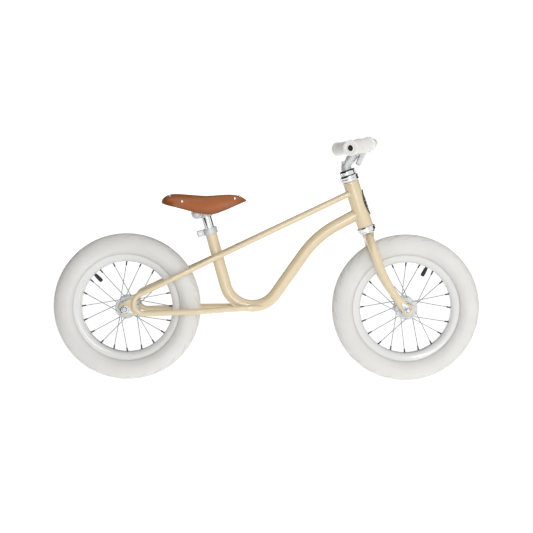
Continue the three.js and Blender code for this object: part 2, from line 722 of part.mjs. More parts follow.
function makeSeatPost() {
  const bore = seatPostRadius - 1.6;
  const profile = [[seatPostRadius, -seatPostDepth], [seatPostRadius, seatPostRise], [bore, seatPostRise],
    [bore, -seatPostDepth]];
  add(seat, 'seat_post', turnedAboutZ(profile, 20), chrome);
  const bandBore = seatPostRadius + gap;
  const bandOuter = bandBore + 3;
  const bandFoot = seatPostRise - 14;
  const bandTop = seatPostRise - 0.5;
  const band = turnedAboutZ([[bandOuter, bandFoot], [bandOuter, bandTop], [bandBore, bandTop],
    [bandBore, bandFoot]], 20);
  const barrelRadius = 8;
  const barrel = rodAlongY(barrelRadius, 2 * saddleDiscFace - 2 * gap, 14);
  barrel.translate(-saddleClampSetback, 0, saddleClampRise);
  const postSpace = rodAlongZ(bandBore, 60, 20).translate(0, 0, saddleClampRise);
  const boltHole = rodAlongY(saddleBoltRadius + gap, 40, 12);
  boltHole.translate(-saddleClampSetback, 0, saddleClampRise);
  add(seat, 'saddle_clamp', cut(join(band, barrel), postSpace, boltHole), zincSteel);
  const shank = rodAlongY(saddleBoltRadius, 60, 12);
  const headFace = saddleDiscFace + saddleDiscWidth + gap;
  const headHeight = 3.4;
  const headMiddle = headFace + headHeight / 2;
  const head = (side) => rodAlongY(saddleBoltRadius + 2.4, headHeight, 6).translate(0, side * headMiddle, 0);
  const bolt = join(shank, head(1), head(-1)).translate(-saddleClampSetback, 0, saddleClampRise);
  add(seat, 'saddle_clamp_bolt', bolt, zincSteel);
}

// Saddle parts share a group at the centre of the clamp bolt, level with the ground.
const saddle = new THREE.Group();
const clampCentre = collarFoot.clone().addScaledVector(seatUp, saddleClampRise);
clampCentre.addScaledVector(flat(seatUp.y, -seatUp.x), -saddleClampSetback);
saddle.position.set(clampCentre.x, 0, clampCentre.y);
bike.add(saddle);

function railLine() {
  const half = railSpacing / 2;
  const foot = railRise;
  const top = saddleBaseRise - gap;
  const wing = [
    at(railRear.x, railRear.y, top - railRadius),
    at(railRearCorner, half, foot),
    at(railFrontCorner, half, foot),
    at(railNose.x, railNose.y, top - railNose.drop),
  ];
  const mirror = wing.slice().reverse().map((point) => at(point.x, -point.y, point.z));
  return new BentLine([...wing, ...mirror], [10, 20, 6, 6, 20, 10], 24);
}

function saddlePlan(inset) {
  const outline = new THREE.Shape();
  const half = [
    [108, 0], [103, 14], [90, 22], [62, 26], [28, 36], [-10, 57], [-42, 68], [-64, 66], [-77, 42], [-78, 0],
  ];
  const middle = 15;
  const halfLength = 93;
  const halfWidth = 68;
  const shrink = ([x, y]) => {
    const along = ((x - middle) * (halfLength - inset)) / halfLength;
    return flat(middle + along, (y * (halfWidth - inset)) / halfWidth);
  };
  const left = half.map(shrink);
  const right = left.slice(1, -1).reverse().map((point) => flat(point.x, -point.y));
  outline.moveTo(left[0].x, left[0].y);
  outline.splineThru(left.slice(1));
  outline.splineThru([...right, left[0]]);
  return outline;
}

function saddleSide() {
  const outline = new THREE.Shape();
  outline.moveTo(-78, 26);
  const skirt = [
    [-62, 22.5], [-32, 17], [-8, 8.7], [12, 2.7], [28, 1.2], [45, 4.5], [65, 12], [86, 20.5], [108, 27],
  ];
  const crest = [
    [104, 32], [92, 37], [58, 40.2], [17, 37.4], [-35, 40.5], [-58, 41.2], [-74, 35.5], [-78, 26],
  ];
  outline.splineThru(skirt.map(([x, z]) => flat(x, z)));
  outline.splineThru(crest.map(([x, z]) => flat(x, z)));
  return outline;
}

function makeSaddle() {
  const planOptions = { depth: 60, bevelEnabled: false, curveSegments: 3 };
  const plan = new THREE.ExtrudeGeometry(saddlePlan(0), planOptions).translate(0, 0, -5);
  const profile = plateAlongY(saddleSide(), -80, 80, 2);
  const cavityTop = saddleBaseRise + saddleBaseThickness + gap;
  const cavityOptions = { ...planOptions, depth: cavityTop + 5 };
  const cavity = new THREE.ExtrudeGeometry(saddlePlan(saddleSkirtWall), cavityOptions);
  const cover = cut(common(plan, profile), cavity.translate(0, 0, -5));
  add(saddle, 'saddle_cover', cover, tanLeather);
  const baseOptions = { ...planOptions, depth: saddleBaseThickness };
  const base = new THREE.ExtrudeGeometry(saddlePlan(saddleSkirtWall + 0.8), baseOptions);
  add(saddle, 'saddle_base', base.translate(0, 0, saddleBaseRise), darkPlastic);
  const rails = tube(railLine(), railRadius, 6);
  add(saddle, 'saddle_rails', rails, chrome);
  const railSpace = tube(railLine(), railRadius + 0.5, 8);
  for (const [hand, side] of [['left', 1], ['right', -1]]) {
    const centre = side * (saddleDiscFace + saddleDiscWidth / 2);
    const disc = rodAlongY(saddleClampDiscRadius, saddleDiscWidth, 16).translate(0, centre, 0);
    const hole = rodAlongY(saddleBoltRadius + gap, saddleDiscWidth * 2, 10).translate(0, centre, 0);
    add(saddle, `${hand}_clamp_disc`, cut(disc, hole, railSpace), zincSteel);
  }
}

// Stem and bar
const stemCorner = headTubeLength + stemCornerRise;
const barCentre = flat(stemReach, stemCorner + stemClimb);
const expanderRadius = 4;

function makeStem() {
  const wedgeSlope = 30;
  const neckFoot = stemCorner - 14;
  const neckEnd = at(barCentre.x, 0, barCentre.y);
  const neckLine = new BentLine([at(0, 0, neckFoot), at(0, 0, stemCorner), neckEnd], [15], 12);
  const neck = tube(neckLine, neckRadius, 14);
  const quillTop = stemCorner - 7;
  const quillMiddle = (quillTop + quillDepth) / 2;
  const quill = rodAlongZ(quillRadius, quillTop - quillDepth, 16).translate(0, 0, quillMiddle);
  const ring = rodAlongY(barClampRadius, barClampWidth, 24).translate(barCentre.x, 0, barCentre.y);
  const lugAngle = degrees(clampLugAngle);
  const hang = (geometry) => geometry.rotateY(-lugAngle).translate(barCentre.x, 0, barCentre.y);
  const lug = new THREE.BoxGeometry(clampLugReach, clampLugWidth, clampLugThickness);
  hang(lug.translate(clampLugReach / 2, 0, clampLugOffset));
  const bar = rodAlongY(barRadius + gap, barClampWidth * 2, 20).translate(barCentre.x, 0, barCentre.y);
  const slot = new THREE.BoxGeometry(clampLugReach * 2, barClampWidth * 2, clampSlot);
  hang(slot.translate(clampLugReach, 0, clampLugOffset - (clampLugThickness + clampSlot) / 2));
  const pinch = (radius, start, end, sides) => {
    const rod = rodAlongZ(radius, end - start, sides);
    return hang(rod.translate(clampBoltReach, 0, (start + end) / 2));
  };
  const lugFace = clampLugOffset + clampLugThickness / 2;
  const pinchHead = lugFace - 5;
  const pinchHole = pinch(boltRadius + gap, -9, lugFace + 10, 12);
  const pinchPocket = pinch(boltRadius + 2, pinchHead, lugFace + 10, 14);
  const expanderHole = rodAlongZ(expanderRadius + gap, 400, 12).translate(0, 0, stemCorner);
  const headPocket = rodAlongZ(8, 20, 16).translate(0, 0, stemCorner + 14);
  const slopeCut = new THREE.BoxGeometry(60, 40, 40).translate(0, 0, -20).rotateY(degrees(wedgeSlope));
  slopeCut.translate(0, 0, quillDepth + 10);
  const body = join(quill, neck, ring, lug);
  const stem = cut(body, bar, slot, pinchHole, pinchPocket, expanderHole, headPocket, slopeCut);
  add(steering, 'stem', stem, chrome);
  const wedgeRod = rodAlongZ(quillRadius, 30, 16).translate(0, 0, quillDepth + 5);
  const slopeSpace = new THREE.BoxGeometry(60, 40, 60).translate(0, 0, 30 - gap).rotateY(degrees(wedgeSlope));
  slopeSpace.translate(0, 0, quillDepth + 10);
  const wedge = cut(wedgeRod, slopeSpace, expanderHole);
  add(steering, 'expander_wedge', wedge, zincSteel);
  const shankFoot = quillDepth - 12;
  const shankTop = stemCorner + 6;
  const shankMiddle = (shankFoot + shankTop) / 2;
  const shank = rodAlongZ(expanderRadius, shankTop - shankFoot, 10).translate(0, 0, shankMiddle);
  const head = rodAlongZ(6, 6, 6).translate(0, 0, stemCorner + 4 + gap + 3);
  add(steering, 'expander_bolt', join(shank, head), zincSteel);
  const boltShank = pinch(boltRadius, -8, pinchHead + 2, 10);
  const boltHead = pinch(boltRadius + 1.5, pinchHead + gap, pinchHead + gap + 4, 12);
  add(steering, 'stem_clamp_bolt', join(boltShank, boltHead), zincSteel);
}

// Bar parts share a group at the centre of the stem clamp, level with the ground.
const handlebars = new THREE.Group();
const barPlace = onHeadAxis(barCentre.y).addScaledVector(steeringAhead, barCentre.x);
handlebars.position.set(barPlace.x, 0, barPlace.y);
bike.add(handlebars);

function makeHandlebar() {
  const half = [at(0, barStraight, 0), at(gripShoulder.x, gripShoulder.y, gripShoulder.z),
    at(gripEnd.x, gripEnd.y, gripEnd.z)];
  const out = half[2].clone().sub(half[1]).normalize();
  const barEnd = half[2].clone().addScaledVector(out, -6);
  const left = [barEnd, half[1], half[0]];
  const right = left.slice().reverse().map((point) => at(point.x, -point.y, point.z));
  const line = new BentLine([...left, ...right], [32, 32, 32, 32], 12);
  add(handlebars, 'handlebar', tube(line, barRadius, 16, barRadius - barWall, 8), creamPaint);
  const bore = barRadius + gap;
  const endWall = 4;
  const body = [
    [bore, -gripLength], [gripFlangeRadius, -gripLength], [gripFlangeRadius, -gripLength + 4],
    [gripRadius, -gripLength + 5], [gripRadius, -gripFlangeWidth - 1], [gripFlangeRadius, -gripFlangeWidth],
    [gripFlangeRadius, 0], [gripEndHole, 0], [gripEndHole, -endWall], [bore, -endWall],
  ];
  for (const [hand, side] of [['left', 1], ['right', -1]]) {
    const direction = at(out.x, side * out.y, out.z);
    const turn = new THREE.Quaternion().setFromUnitVectors(at(0, 1, 0), direction);
    const grip = turned(body, 16).applyQuaternion(turn);
    add(handlebars, `${hand}_grip`, grip.translate(half[2].x, side * half[2].y, half[2].z), whiteRubber);
  }
}

makeMainTube();
makeHeadTube();
makeHeadBadge();
makeStay('left_stay', 1);
makeStay('right_stay', -1);
makeDropout('left_dropout', 1);
makeDropout('right_dropout', -1);
makeHeadset();
makeFork();
makeAxle('rear', rearAxle, dropoutThickness, rearTabAngle);
makeAxle('front', frontAxle, forkEndThickness, frontTabAngle);
makeWheel('rear', rearAxle, rearValveAngle);
makeWheel('front', frontAxle, frontValveAngle);
makeSeatCollar();
makeSeatPost();
makeSaddle();
makeStem();
makeHandlebar();

export default bike;
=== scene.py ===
import json
import math

import bmesh
import bpy
from mathutils import Matrix, Vector


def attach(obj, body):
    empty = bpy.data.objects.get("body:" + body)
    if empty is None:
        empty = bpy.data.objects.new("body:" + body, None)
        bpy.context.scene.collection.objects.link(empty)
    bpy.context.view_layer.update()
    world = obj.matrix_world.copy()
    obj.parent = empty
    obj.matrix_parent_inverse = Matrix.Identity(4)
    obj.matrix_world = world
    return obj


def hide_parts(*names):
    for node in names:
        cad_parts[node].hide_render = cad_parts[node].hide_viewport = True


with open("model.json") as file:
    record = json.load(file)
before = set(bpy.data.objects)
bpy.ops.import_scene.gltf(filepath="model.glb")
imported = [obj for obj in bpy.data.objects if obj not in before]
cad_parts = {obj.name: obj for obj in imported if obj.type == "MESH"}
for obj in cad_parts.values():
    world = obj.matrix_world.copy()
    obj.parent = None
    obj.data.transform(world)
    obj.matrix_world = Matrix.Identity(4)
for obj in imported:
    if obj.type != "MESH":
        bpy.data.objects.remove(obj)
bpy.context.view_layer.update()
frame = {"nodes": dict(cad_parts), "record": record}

mm = 0.001
joints = {joint["name"]: joint for joint in frame["record"]["behaviour"]["joints"]}
print("frame loaded")


# Places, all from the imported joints.
def jointPlace(name):
    return Vector(joints[name]["pos_m"])


sideways = Vector((0, 1, 0))
rearAxle = jointPlace("rear_wheel_spin")
frontAxle = jointPlace("front_wheel_spin")
headFoot = jointPlace("steering")
clampCentre = jointPlace("saddle_tilt")
barCentre = jointPlace("handlebar_roll")
steeringUp = Vector(joints["steering"]["axis"]).normalized()
steeringAhead = sideways.cross(steeringUp)
seatUp = Vector(joints["seat_height"]["axis"]).normalized()
seatAhead = sideways.cross(seatUp)
seatClamp = {"setback": 16.4, "rise": 50.8}  # of the saddle's clamp bolt from the foot of the seat collar
collarFoot = clampCentre + seatAhead * seatClamp["setback"] * mm - seatUp * seatClamp["rise"] * mm
hands = (("left", 1), ("right", -1))


def inSteering(x, y, z):
    return headFoot + (steeringAhead * x + sideways * y + steeringUp * z) * mm


def inSeat(x, y, z):
    return collarFoot + (seatAhead * x + sideways * y + seatUp * z) * mm


def beside(centre, x, y, z):
    return centre + Vector((x, y, z)) * mm


# Shader boards.
def fromHex(code):
    shades = [int(code[i:i + 2], 16) / 255 for i in (0, 2, 4)]
    return tuple(c / 12.92 if c <= 0.04045 else ((c + 0.055) / 1.055) ** 2.4 for c in shades) + (1.0,)


class Wire:  # a socket that can stand in a sum
    def __init__(self, board, socket):
        self.board = board
        self.socket = socket

    def maths(self, operation, first, second):
        return self.board.node("Math", {"operation": operation}, {0: first, 1: second})

    def __add__(self, other):
        return self.maths("ADD", self, other)

    def __radd__(self, other):
        return self.maths("ADD", other, self)

    def __mul__(self, other):
        return self.maths("MULTIPLY", self, other)

    def __rmul__(self, other):
        return self.maths("MULTIPLY", other, self)


class Board:
    def __init__(self, name):
        self.material = bpy.data.materials.new(name)
        self.material.use_nodes = True
        self.tree = self.material.node_tree
        self.tree.nodes.clear()
        self.place = self.node("TexCoord", output="Object")

    def node(self, kind, settings=None, inputs=None, output=0):
        made = self.tree.nodes.new("ShaderNode" + kind)
        for key, value in (settings or {}).items():
            if key == "stops":
                for element, (position, grey) in zip(made.color_ramp.elements, value):
                    element.position = position
                    element.color = (grey, grey, grey, 1.0)
            else:
                setattr(made, key, value)
        for key, value in (inputs or {}).items():
            if isinstance(value, Wire):
                self.tree.links.new(value.socket, made.inputs[key])
            else:
                made.inputs[key].default_value = value
        return Wire(self, made.outputs[output])

    def speckle(self, scale, detail=3.0, roughness=0.5):
        values = {"Vector": self.place, "Scale": scale, "Detail": detail, "Roughness": roughness}
        return self.node("TexNoise", {}, values)

    def ramp(self, factor, low, high):
        return self.node("ValToRGB", {"stops": [(low, 0.0), (high, 1.0)]}, {"Fac": factor})

    def blend(self, factor, first, second):
        return self.node("Mix", {"data_type": "RGBA"}, {0: factor, 6: first, 7: second}, output=2)

    def drift(self, shades, spots, band=(0.3, 0.8)):
        # Two close shades that drift over the surface.
        return self.blend(self.ramp(self.speckle(*spots), *band), fromHex(shades[0]), fromHex(shades[1]))

    def mark(self, attribute):
        return self.node("Attribute", {"attribute_name": attribute}, output="Fac")

    def bump(self, height, distance, strength, under=None):
        values = {"Height": height, "Distance": distance * mm, "Strength": strength}
        if under:
            values["Normal"] = under
        return self.node("Bump", {}, values)

    def finish(self, **sockets):
        named = {key.replace("_", " "): value for key, value in sockets.items()}
        shader = self.node("BsdfPrincipled", {}, named)
        end = self.tree.nodes.new("ShaderNodeOutputMaterial")
        self.tree.links.new(shader.socket, end.inputs["Surface"])
        return self.material


# Drift, spots and pores are a scale and a detail; rough is a base and a spread; grain is a depth and a strength.
looks = {
    "cream": {"board": "cream_paint", "slot": "frame_paint", "shades": ("dbcaa8", "d7c5a2"), "drift": (7.0, 3.0),
              "band": (0.3, 0.75), "rough": (0.3, 0.08), "spots": (140.0, 5.0), "dust": (0.5, 0.85),
              "grain": (0.015, 0.3), "pores": (700.0, 2.0), "sockets": {"Coat_Weight": 1.0, "Coat_Roughness": 0.06}},
    "grip": {"board": "white_grip_rubber", "slot": "grip_rubber", "shades": ("e6e5e2", "e2e1de"),
             "drift": (40.0, 5.0), "band": (0.35, 0.8), "rough": (0.5, 0.1), "spots": (90.0, 4.0),
             "grain": (0.01, 0.25), "pores": (900.0, 2.0)},
    "black": {"board": "black_rubber", "slot": "black_rubber", "shades": ("141414", "202020"), "drift": (70.0, 4.0),
              "rough": (0.45, 0.2), "spots": (200.0, 3.0), "grain": (0.03, 0.6), "pores": (1200.0, 3.0)},
    "plastic": {"board": "moulded_plastic", "slot": "saddle_plastic", "shades": ("1d1c1b", "2a2927"),
                "drift": (50.0, 4.0), "rough": (0.5, 0.15), "spots": (160.0, 3.0), "grain": (0.06, 0.7),
                "pores": (700.0, 3.0)},
    "chrome": {"board": "chrome_plate", "slot": "chrome", "shades": ("e6e8e8", "dfe1e2"), "drift": (30.0, 3.0),
               "rough": (0.08, 0.06), "spots": (260.0, 5.0), "dust": (0.5, 0.85), "sockets": {"Metallic": 1.0}},
    "satin": {"board": "satin_silver", "slot": "chrome", "shades": ("cfd0d0", "c7c9c9"), "drift": (60.0, 5.0),
              "rough": (0.42, 0.1), "spots": (380.0, 4.0), "grain": (0.01, 0.4), "pores": (1400.0, 3.0),
              "sockets": {"Metallic": 0.45}},
    "zinc": {"board": "zinc_plate", "slot": "zinc_steel", "shades": ("cfd1d2", "b4b7b9"), "drift": (180.0, 6.0),
             "rough": (0.26, 0.2), "spots": (320.0, 4.0), "grain": (0.015, 0.5), "pores": (800.0, 3.0),
             "sockets": {"Metallic": 1.0}},
    "spoke": {"board": "spoke_steel", "slot": "zinc_steel", "shades": ("b2b4b6", "999b9d"), "drift": (200.0, 4.0),
              "rough": (0.3, 0.15), "spots": (400.0, 3.0), "sockets": {"Metallic": 0.7}},
    "rim": {"board": "rim_gloss", "slot": "rim_finish", "shades": ("dcdcda", "d8d8d6"), "drift": (16.0, 3.0),
            "rough": (0.22, 0.1), "spots": (220.0, 5.0), "dust": (0.45, 0.85),
            "sockets": {"Coat_Weight": 0.6, "Coat_Roughness": 0.06}},
    "nipple": {"board": "dark_nipple_steel", "slot": "zinc_steel", "shades": ("3a3a3b", "5a5b5c"),
               "drift": (400.0, 4.0), "rough": (0.25, 0.2), "spots": (500.0, 3.0), "sockets": {"Metallic": 1.0}},
    "badge": {"board": "badge_enamel", "slot": "badge", "shades": ("2f2f30", "454546"), "drift": (90.0, 4.0),
              "rough": (0.2, 0.15), "spots": (300.0, 3.0), "sockets": {"Metallic": 0.4, "Coat_Weight": 0.5}},
}


def plainFinish(look):
    board = Board(look["board"])
    sockets = dict(look.get("sockets", {}))
    sockets["Base_Color"] = board.drift(look["shades"], look["drift"], look.get("band", (0.3, 0.8)))
    spots = board.speckle(*look["spots"])
    if "dust" in look:
        spots = board.ramp(spots, *look["dust"])
    sockets["Roughness"] = look["rough"][0] + spots * look["rough"][1]
    if "grain" in look:
        sockets["Normal"] = board.bump(board.speckle(*look["pores"]), *look["grain"])
    return board.finish(**sockets)


def tyreRubber():
    look = {"shades": ("dad9d5", "d4d3ce"), "grooveAndShade": "77746c", "grain": (0.05, 0.5)}
    board = Board("white_tyre_rubber")
    colour = board.drift(look["shades"], (22.0, 6.0), (0.35, 0.8))
    # Painted shade: the groove mask mixes the white rubber towards a darker grey, for the shade that falls in the
    # grooves.
    colour = board.blend(board.mark("grooveAndShade"), colour, fromHex(look["grooveAndShade"]))
    rough = 0.56 + board.speckle(60.0, 4.0) * 0.16
    return board.finish(Base_Color=colour, Roughness=rough, Normal=board.bump(board.speckle(1500.0), *look["grain"]))


def tanLeather():
    look = {"shades": ("b0642a", "a0531c"), "dark": "522506", "pore": 0.08, "crease": 0.06, "fibre": 0.25,
            "shadeAndWear": 0.7}
    board = Board("tan_leather")
    colour = board.drift(look["shades"], (14.0, 4.0, 0.6), (0.3, 0.75))
    fibres = board.ramp(board.speckle(420.0, 8.0, 0.7), 0.35, 0.75)
    colour = board.blend(fibres * look["fibre"], colour, fromHex(look["dark"]))
    # Darker towards the skirt's lower edge and at both ends: a burnished edge, widened into painted shade over the
    # lower skirt.
    colour = board.blend(board.mark("edge") * look["shadeAndWear"], colour, fromHex(look["dark"]))
    cells = board.node("TexVoronoi", {"feature": "DISTANCE_TO_EDGE"}, {"Vector": board.place, "Scale": 650.0})
    pores = board.bump(board.ramp(cells, 0.0, 0.25), look["pore"], 0.5)
    creased = board.bump(board.speckle(260.0, 6.0, 0.6), look["crease"], 0.5, pores)
    rough = 0.34 + board.speckle(180.0, 4.0) * 0.18
    return board.finish(Base_Color=colour, Roughness=rough, Normal=creased)


finishes = {key: plainFinish(look) for key, look in looks.items()}
finishes["tyre"] = tyreRubber()
finishes["leather"] = tanLeather()
slots = {key: look["slot"] for key, look in looks.items()}
slots["tyre"] = "tyre_rubber"
slots["leather"] = "saddle_leather"
print("materials made")


# Shape tools.
def together(*solids):
    verts, faces = [], []
    for solidVerts, solidFaces in solids:
        start = len(verts)
        verts.extend(solidVerts)
        faces.extend([start + index for index in face] for face in solidFaces)
    return verts, faces


def gridFaces(rows, columns, wrapRows, wrapColumns):
    faces = []
    for row in range(rows if wrapRows else rows - 1):
        for column in range(columns if wrapColumns else columns - 1):
            nextRow, nextColumn = (row + 1) % rows, (column + 1) % columns
            faces.append([row * columns + column, row * columns + nextColumn,
                          nextRow * columns + nextColumn, nextRow * columns + column])
    return faces


def rounded(outline, radius, steps=3, closed=True):
    # Rounds the corners of an outline of pairs; a corner on the axis stays.
    made = []
    count = len(outline)
    for index in range(count):
        corner = Vector(outline[index])
        if (not closed and index in (0, count - 1)) or abs(corner.x) < 1e-9:
            made.append(tuple(corner))
            continue
        before, after = Vector(outline[index - 1]), Vector(outline[(index + 1) % count])
        into, out = (before - corner), (after - corner)
        reach = min(radius, into.length * 0.49, out.length * 0.49)
        start, end = corner + into.normalized() * reach, corner + out.normalized() * reach
        for step in range(steps + 1):
            share = step / steps
            point = start * (1 - share) ** 2 + corner * 2 * share * (1 - share) + end * share ** 2
            made.append(tuple(point))
    return made


def lathe(profile, centre, axis, sides=48, flats=0, flatReach=0.0, closed=True):
    # Turns pairs of radius and height about an axis. With flats, the radius is capped by a polygon.
    axis = axis.normalized()
    across = axis.orthogonal().normalized() if abs(axis.y) < 0.9 else Vector((1, 0, 0))
    across = (across - axis * across.dot(axis)).normalized()
    along = axis.cross(across)
    verts = []
    for radius, height in profile:
        for side in range(sides):
            angle = 2 * math.pi * side / sides
            reach = radius
            if flats:
                wedge = math.pi / flats
                reach = min(radius, flatReach / math.cos((angle + wedge) % (2 * wedge) - wedge))
            spoke = across * math.cos(angle) + along * math.sin(angle)
            verts.append(centre + (spoke * reach + axis * height) * mm)
    return verts, gridFaces(len(profile), sides, closed, True)


def turned(profile, edge, centre, axis, sides=64):
    return lathe(rounded(profile, edge), centre, axis, sides)


def rod(radius, low, high, centre, axis, sides=32):
    # A solid round bar between two heights on an axis.
    return lathe([(0, low), (radius, low), (radius, high), (0, high)], centre, axis, sides, closed=False)


def sweep(path, radii, sides=32, flatWay=None):
    # Runs a round or oval section along a path. Radii are one number or a pair for each point, in mm.
    count = len(path)
    verts = []
    way = None
    for index in range(count):
        tangent = (path[min(index + 1, count - 1)] - path[max(index - 1, 0)]).normalized()
        if way is None:
            way = flatWay or tangent.orthogonal()
        way = (way - tangent * way.dot(tangent)).normalized()
        over = tangent.cross(way)
        pair = radii[index] if isinstance(radii, list) else radii
        wide, deep = pair if isinstance(pair, tuple) else (pair, pair)
        for side in range(sides):
            angle = 2 * math.pi * side / sides
            verts.append(path[index] + (way * wide * math.cos(angle) + over * deep * math.sin(angle)) * mm)
    faces = gridFaces(count, sides, False, True)
    faces.append(list(range(sides))[::-1])
    faces.append([(count - 1) * sides + side for side in range(sides)])
    return verts, faces


def bentLine(corners, radii, stepDegrees=3.0):
    # Straight runs with an arc at each inner corner, as a tube bender makes them.
    path = [corners[0]]
    for index in range(1, len(corners) - 1):
        before, corner, after = corners[index - 1], corners[index], corners[index + 1]
        into, out = (corner - before).normalized(), (after - corner).normalized()
        turn = into.angle(out)
        side = (out - into * out.dot(into)).normalized()
        radius = radii[index - 1] * mm
        start = corner - into * radius * math.tan(turn / 2)
        steps = max(3, round(math.degrees(turn) / stepDegrees))
        for step in range(steps + 1):
            angle = turn * step / steps
            path.append(start + into * radius * math.sin(angle) + side * radius * (1 - math.cos(angle)))
    path.append(corners[-1])
    return path


def smoothThrough(points, steps):
    # A smooth run through points of any size, by Catmull and Rom's rule.
    made = []
    count = len(points)
    for index in range(count - 1):
        four = [Vector(points[min(max(index + shift, 0), count - 1)]) for shift in (-1, 0, 1, 2)]
        for step in range(steps):
            t = step / steps
            a = four[1] * 2 + (four[2] - four[0]) * t
            b = (four[0] * 2 - four[1] * 5 + four[2] * 4 - four[3]) * t * t
            c = (four[1] * 3 - four[0] - four[2] * 3 + four[3]) * t ** 3
            made.append((a + b + c) * 0.5)
    made.append(Vector(points[-1]))
    return made


def arc(x, y, radius, start, end, steps=16):
    angles = [math.radians(start + (end - start) * step / steps) for step in range(steps + 1)]
    return [(x + radius * math.cos(angle), y + radius * math.sin(angle)) for angle in angles]


def plate(outlines, thickness, edge, toWorld):
    # A flat plate with rounded edges from one outline and its holes; toWorld places x, y and depth.
    curve = bpy.data.curves.new("outline", "CURVE")
    curve.dimensions = "2D"
    curve.fill_mode = "BOTH"
    curve.extrude = thickness / 2 - edge
    curve.bevel_depth = edge
    curve.bevel_resolution = 2
    curve.offset = -edge
    for outline in outlines:
        spline = curve.splines.new("POLY")
        spline.points.add(len(outline) - 1)
        for point, (x, y) in zip(spline.points, outline):
            point.co = (x, y, 0, 1)
        spline.use_cyclic_u = True
    holder = bpy.data.objects.new("outline", curve)
    bpy.context.scene.collection.objects.link(holder)
    mesh = bpy.data.meshes.new_from_object(holder.evaluated_get(bpy.context.evaluated_depsgraph_get()))
    verts = [toWorld(vertex.co.x, vertex.co.y, vertex.co.z) for vertex in mesh.vertices]
    faces = [list(polygon.vertices) for polygon in mesh.polygons]
    bpy.data.objects.remove(holder)
    bpy.data.curves.remove(curve)
    bpy.data.meshes.remove(mesh)
    return verts, faces


def shadeSmooth(made, sharp):
    for face in made.faces:
        face.smooth = True
    for edge in made.edges:
        edge.smooth = len(edge.link_faces) == 2 and edge.calc_face_angle(0) < math.radians(sharp)


def rawObject(name, shape, sharp=35.0):
    made = bmesh.new()
    verts = [made.verts.new(point) for point in shape[0]]
    for face in shape[1]:
        made.faces.new([verts[index] for index in face])
    bmesh.ops.remove_doubles(made, verts=made.verts, dist=0.002 * mm)
    bmesh.ops.dissolve_degenerate(made, edges=made.edges, dist=0.001 * mm)
    bmesh.ops.recalc_face_normals(made, faces=made.faces)
    shadeSmooth(made, sharp)
    mesh = bpy.data.meshes.new(name)
    made.to_mesh(mesh)
    made.free()
    piece = bpy.data.objects.new(name, mesh)
    bpy.context.scene.collection.objects.link(piece)
    return piece


def settle(piece, body, finish, stands=()):
    piece.data.materials.clear()
    piece.data.materials.append(finishes[finish])
    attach(piece, body)
    if stands:
        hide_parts(*stands)
    return piece


def makePiece(name, shape, body, finish, stands=(), sharp=35.0):
    return settle(rawObject(name, shape, sharp), body, finish, stands)


def applyModifier(piece, kind, **settings):
    modifier = piece.modifiers.new(kind.lower(), kind)
    for key, value in settings.items():
        setattr(modifier, key, value)
    mesh = bpy.data.meshes.new_from_object(piece.evaluated_get(bpy.context.evaluated_depsgraph_get()))
    piece.modifiers.clear()
    old = piece.data
    piece.data = mesh
    bpy.data.meshes.remove(old)


def smoothAll(piece):
    for polygon in piece.data.polygons:
        polygon.use_smooth = True


def fuse(piece, voxel, rounds):
    # Grows overlapping solids into one skin with soft inner corners.
    applyModifier(piece, "REMESH", mode="VOXEL", voxel_size=voxel * mm)
    applyModifier(piece, "SMOOTH", factor=0.5, iterations=rounds)
    smoothAll(piece)


def carve(piece, shape):
    tool = rawObject("carving_tool", shape)
    applyModifier(piece, "BOOLEAN", operation="DIFFERENCE", object=tool, solver="EXACT")
    bpy.data.objects.remove(tool)


def markSharp(piece, sharp=35.0):
    made = bmesh.new()
    made.from_mesh(piece.data)
    shadeSmooth(made, sharp)
    made.to_mesh(piece.data)
    made.free()


def tangentCorner(start, end, centre, radius):
    # Where two straight runs meet that both touch a circle, seen from the side.
    begin = Vector((start.x - centre.x, start.z - centre.z))
    finish = Vector((end.x - centre.x, end.z - centre.z))
    entry = math.atan2(begin.y, begin.x) + math.acos(radius / begin.length)
    leave = math.atan2(finish.y, finish.x) - math.acos(radius / finish.length)
    while leave < entry:
        leave += 2 * math.pi
    middle, reach = (entry + leave) / 2, radius / math.cos((leave - entry) / 2)
    return Vector((centre.x + reach * math.cos(middle), 0, centre.z + reach * math.sin(middle)))


def aimAtX(start, end, x, y):
    point = start.lerp(end, (x - start.x) / (end.x - start.x))
    return Vector((x, y, point.z))


# Frame.
mainTube = {"radius": 12.7, "lowBend": 60, "upperBend": 210, "upperRun": 108.5, "upperAngle": 28.8, "joint": 33,
            "collar": 12, "weld": 1.5}
lowBendCentre = beside(collarFoot, 89.2, 0, -96.2)
headTube = {"radius": 17.5, "bore": 15, "length": 102.5, "edge": 0.8}


def weldBead(path, bead, name, body):
    # A ripple of overlapping puddles along a joint, under the paint.
    radii = [bead * (0.85 + 0.15 * math.sin(index * 1.3)) for index in range(len(path))]
    makePiece(name, sweep(path, radii, 10), body, "cream")


def tubeOnHead(tubeEnd, tubeWay, tubeRadius, steps=72):
    # The closed curve where a round tube runs into the side of the head tube.
    across = tubeWay.orthogonal().normalized()
    over = tubeWay.cross(across)
    way = tubeWay - steeringUp * tubeWay.dot(steeringUp)
    curve = []
    for step in range(steps + 1):
        angle = 2 * math.pi * step / steps
        start = tubeEnd + (across * math.cos(angle) + over * math.sin(angle)) * tubeRadius * mm
        reach = start - headFoot
        reach = reach - steeringUp * reach.dot(steeringUp)
        a, b, c = way.dot(way), 2 * reach.dot(way), reach.dot(reach) - (headTube["radius"] * mm) ** 2
        root = b * b - 4 * a * c
        if root > 0:
            curve.append(start + tubeWay * (-b - math.sqrt(root)) / (2 * a))
    return curve


def makeFrameTube(name, shape, node):
    # A tube that ends at the head tube is cut back to its bore, clear of the steerer.
    piece = rawObject(name, shape)
    carve(piece, rod(headTube["bore"] + 0.3, -15, headTube["length"] + 15, headFoot, steeringUp, 96))
    markSharp(piece)
    settle(piece, "frame", "cream", [node])


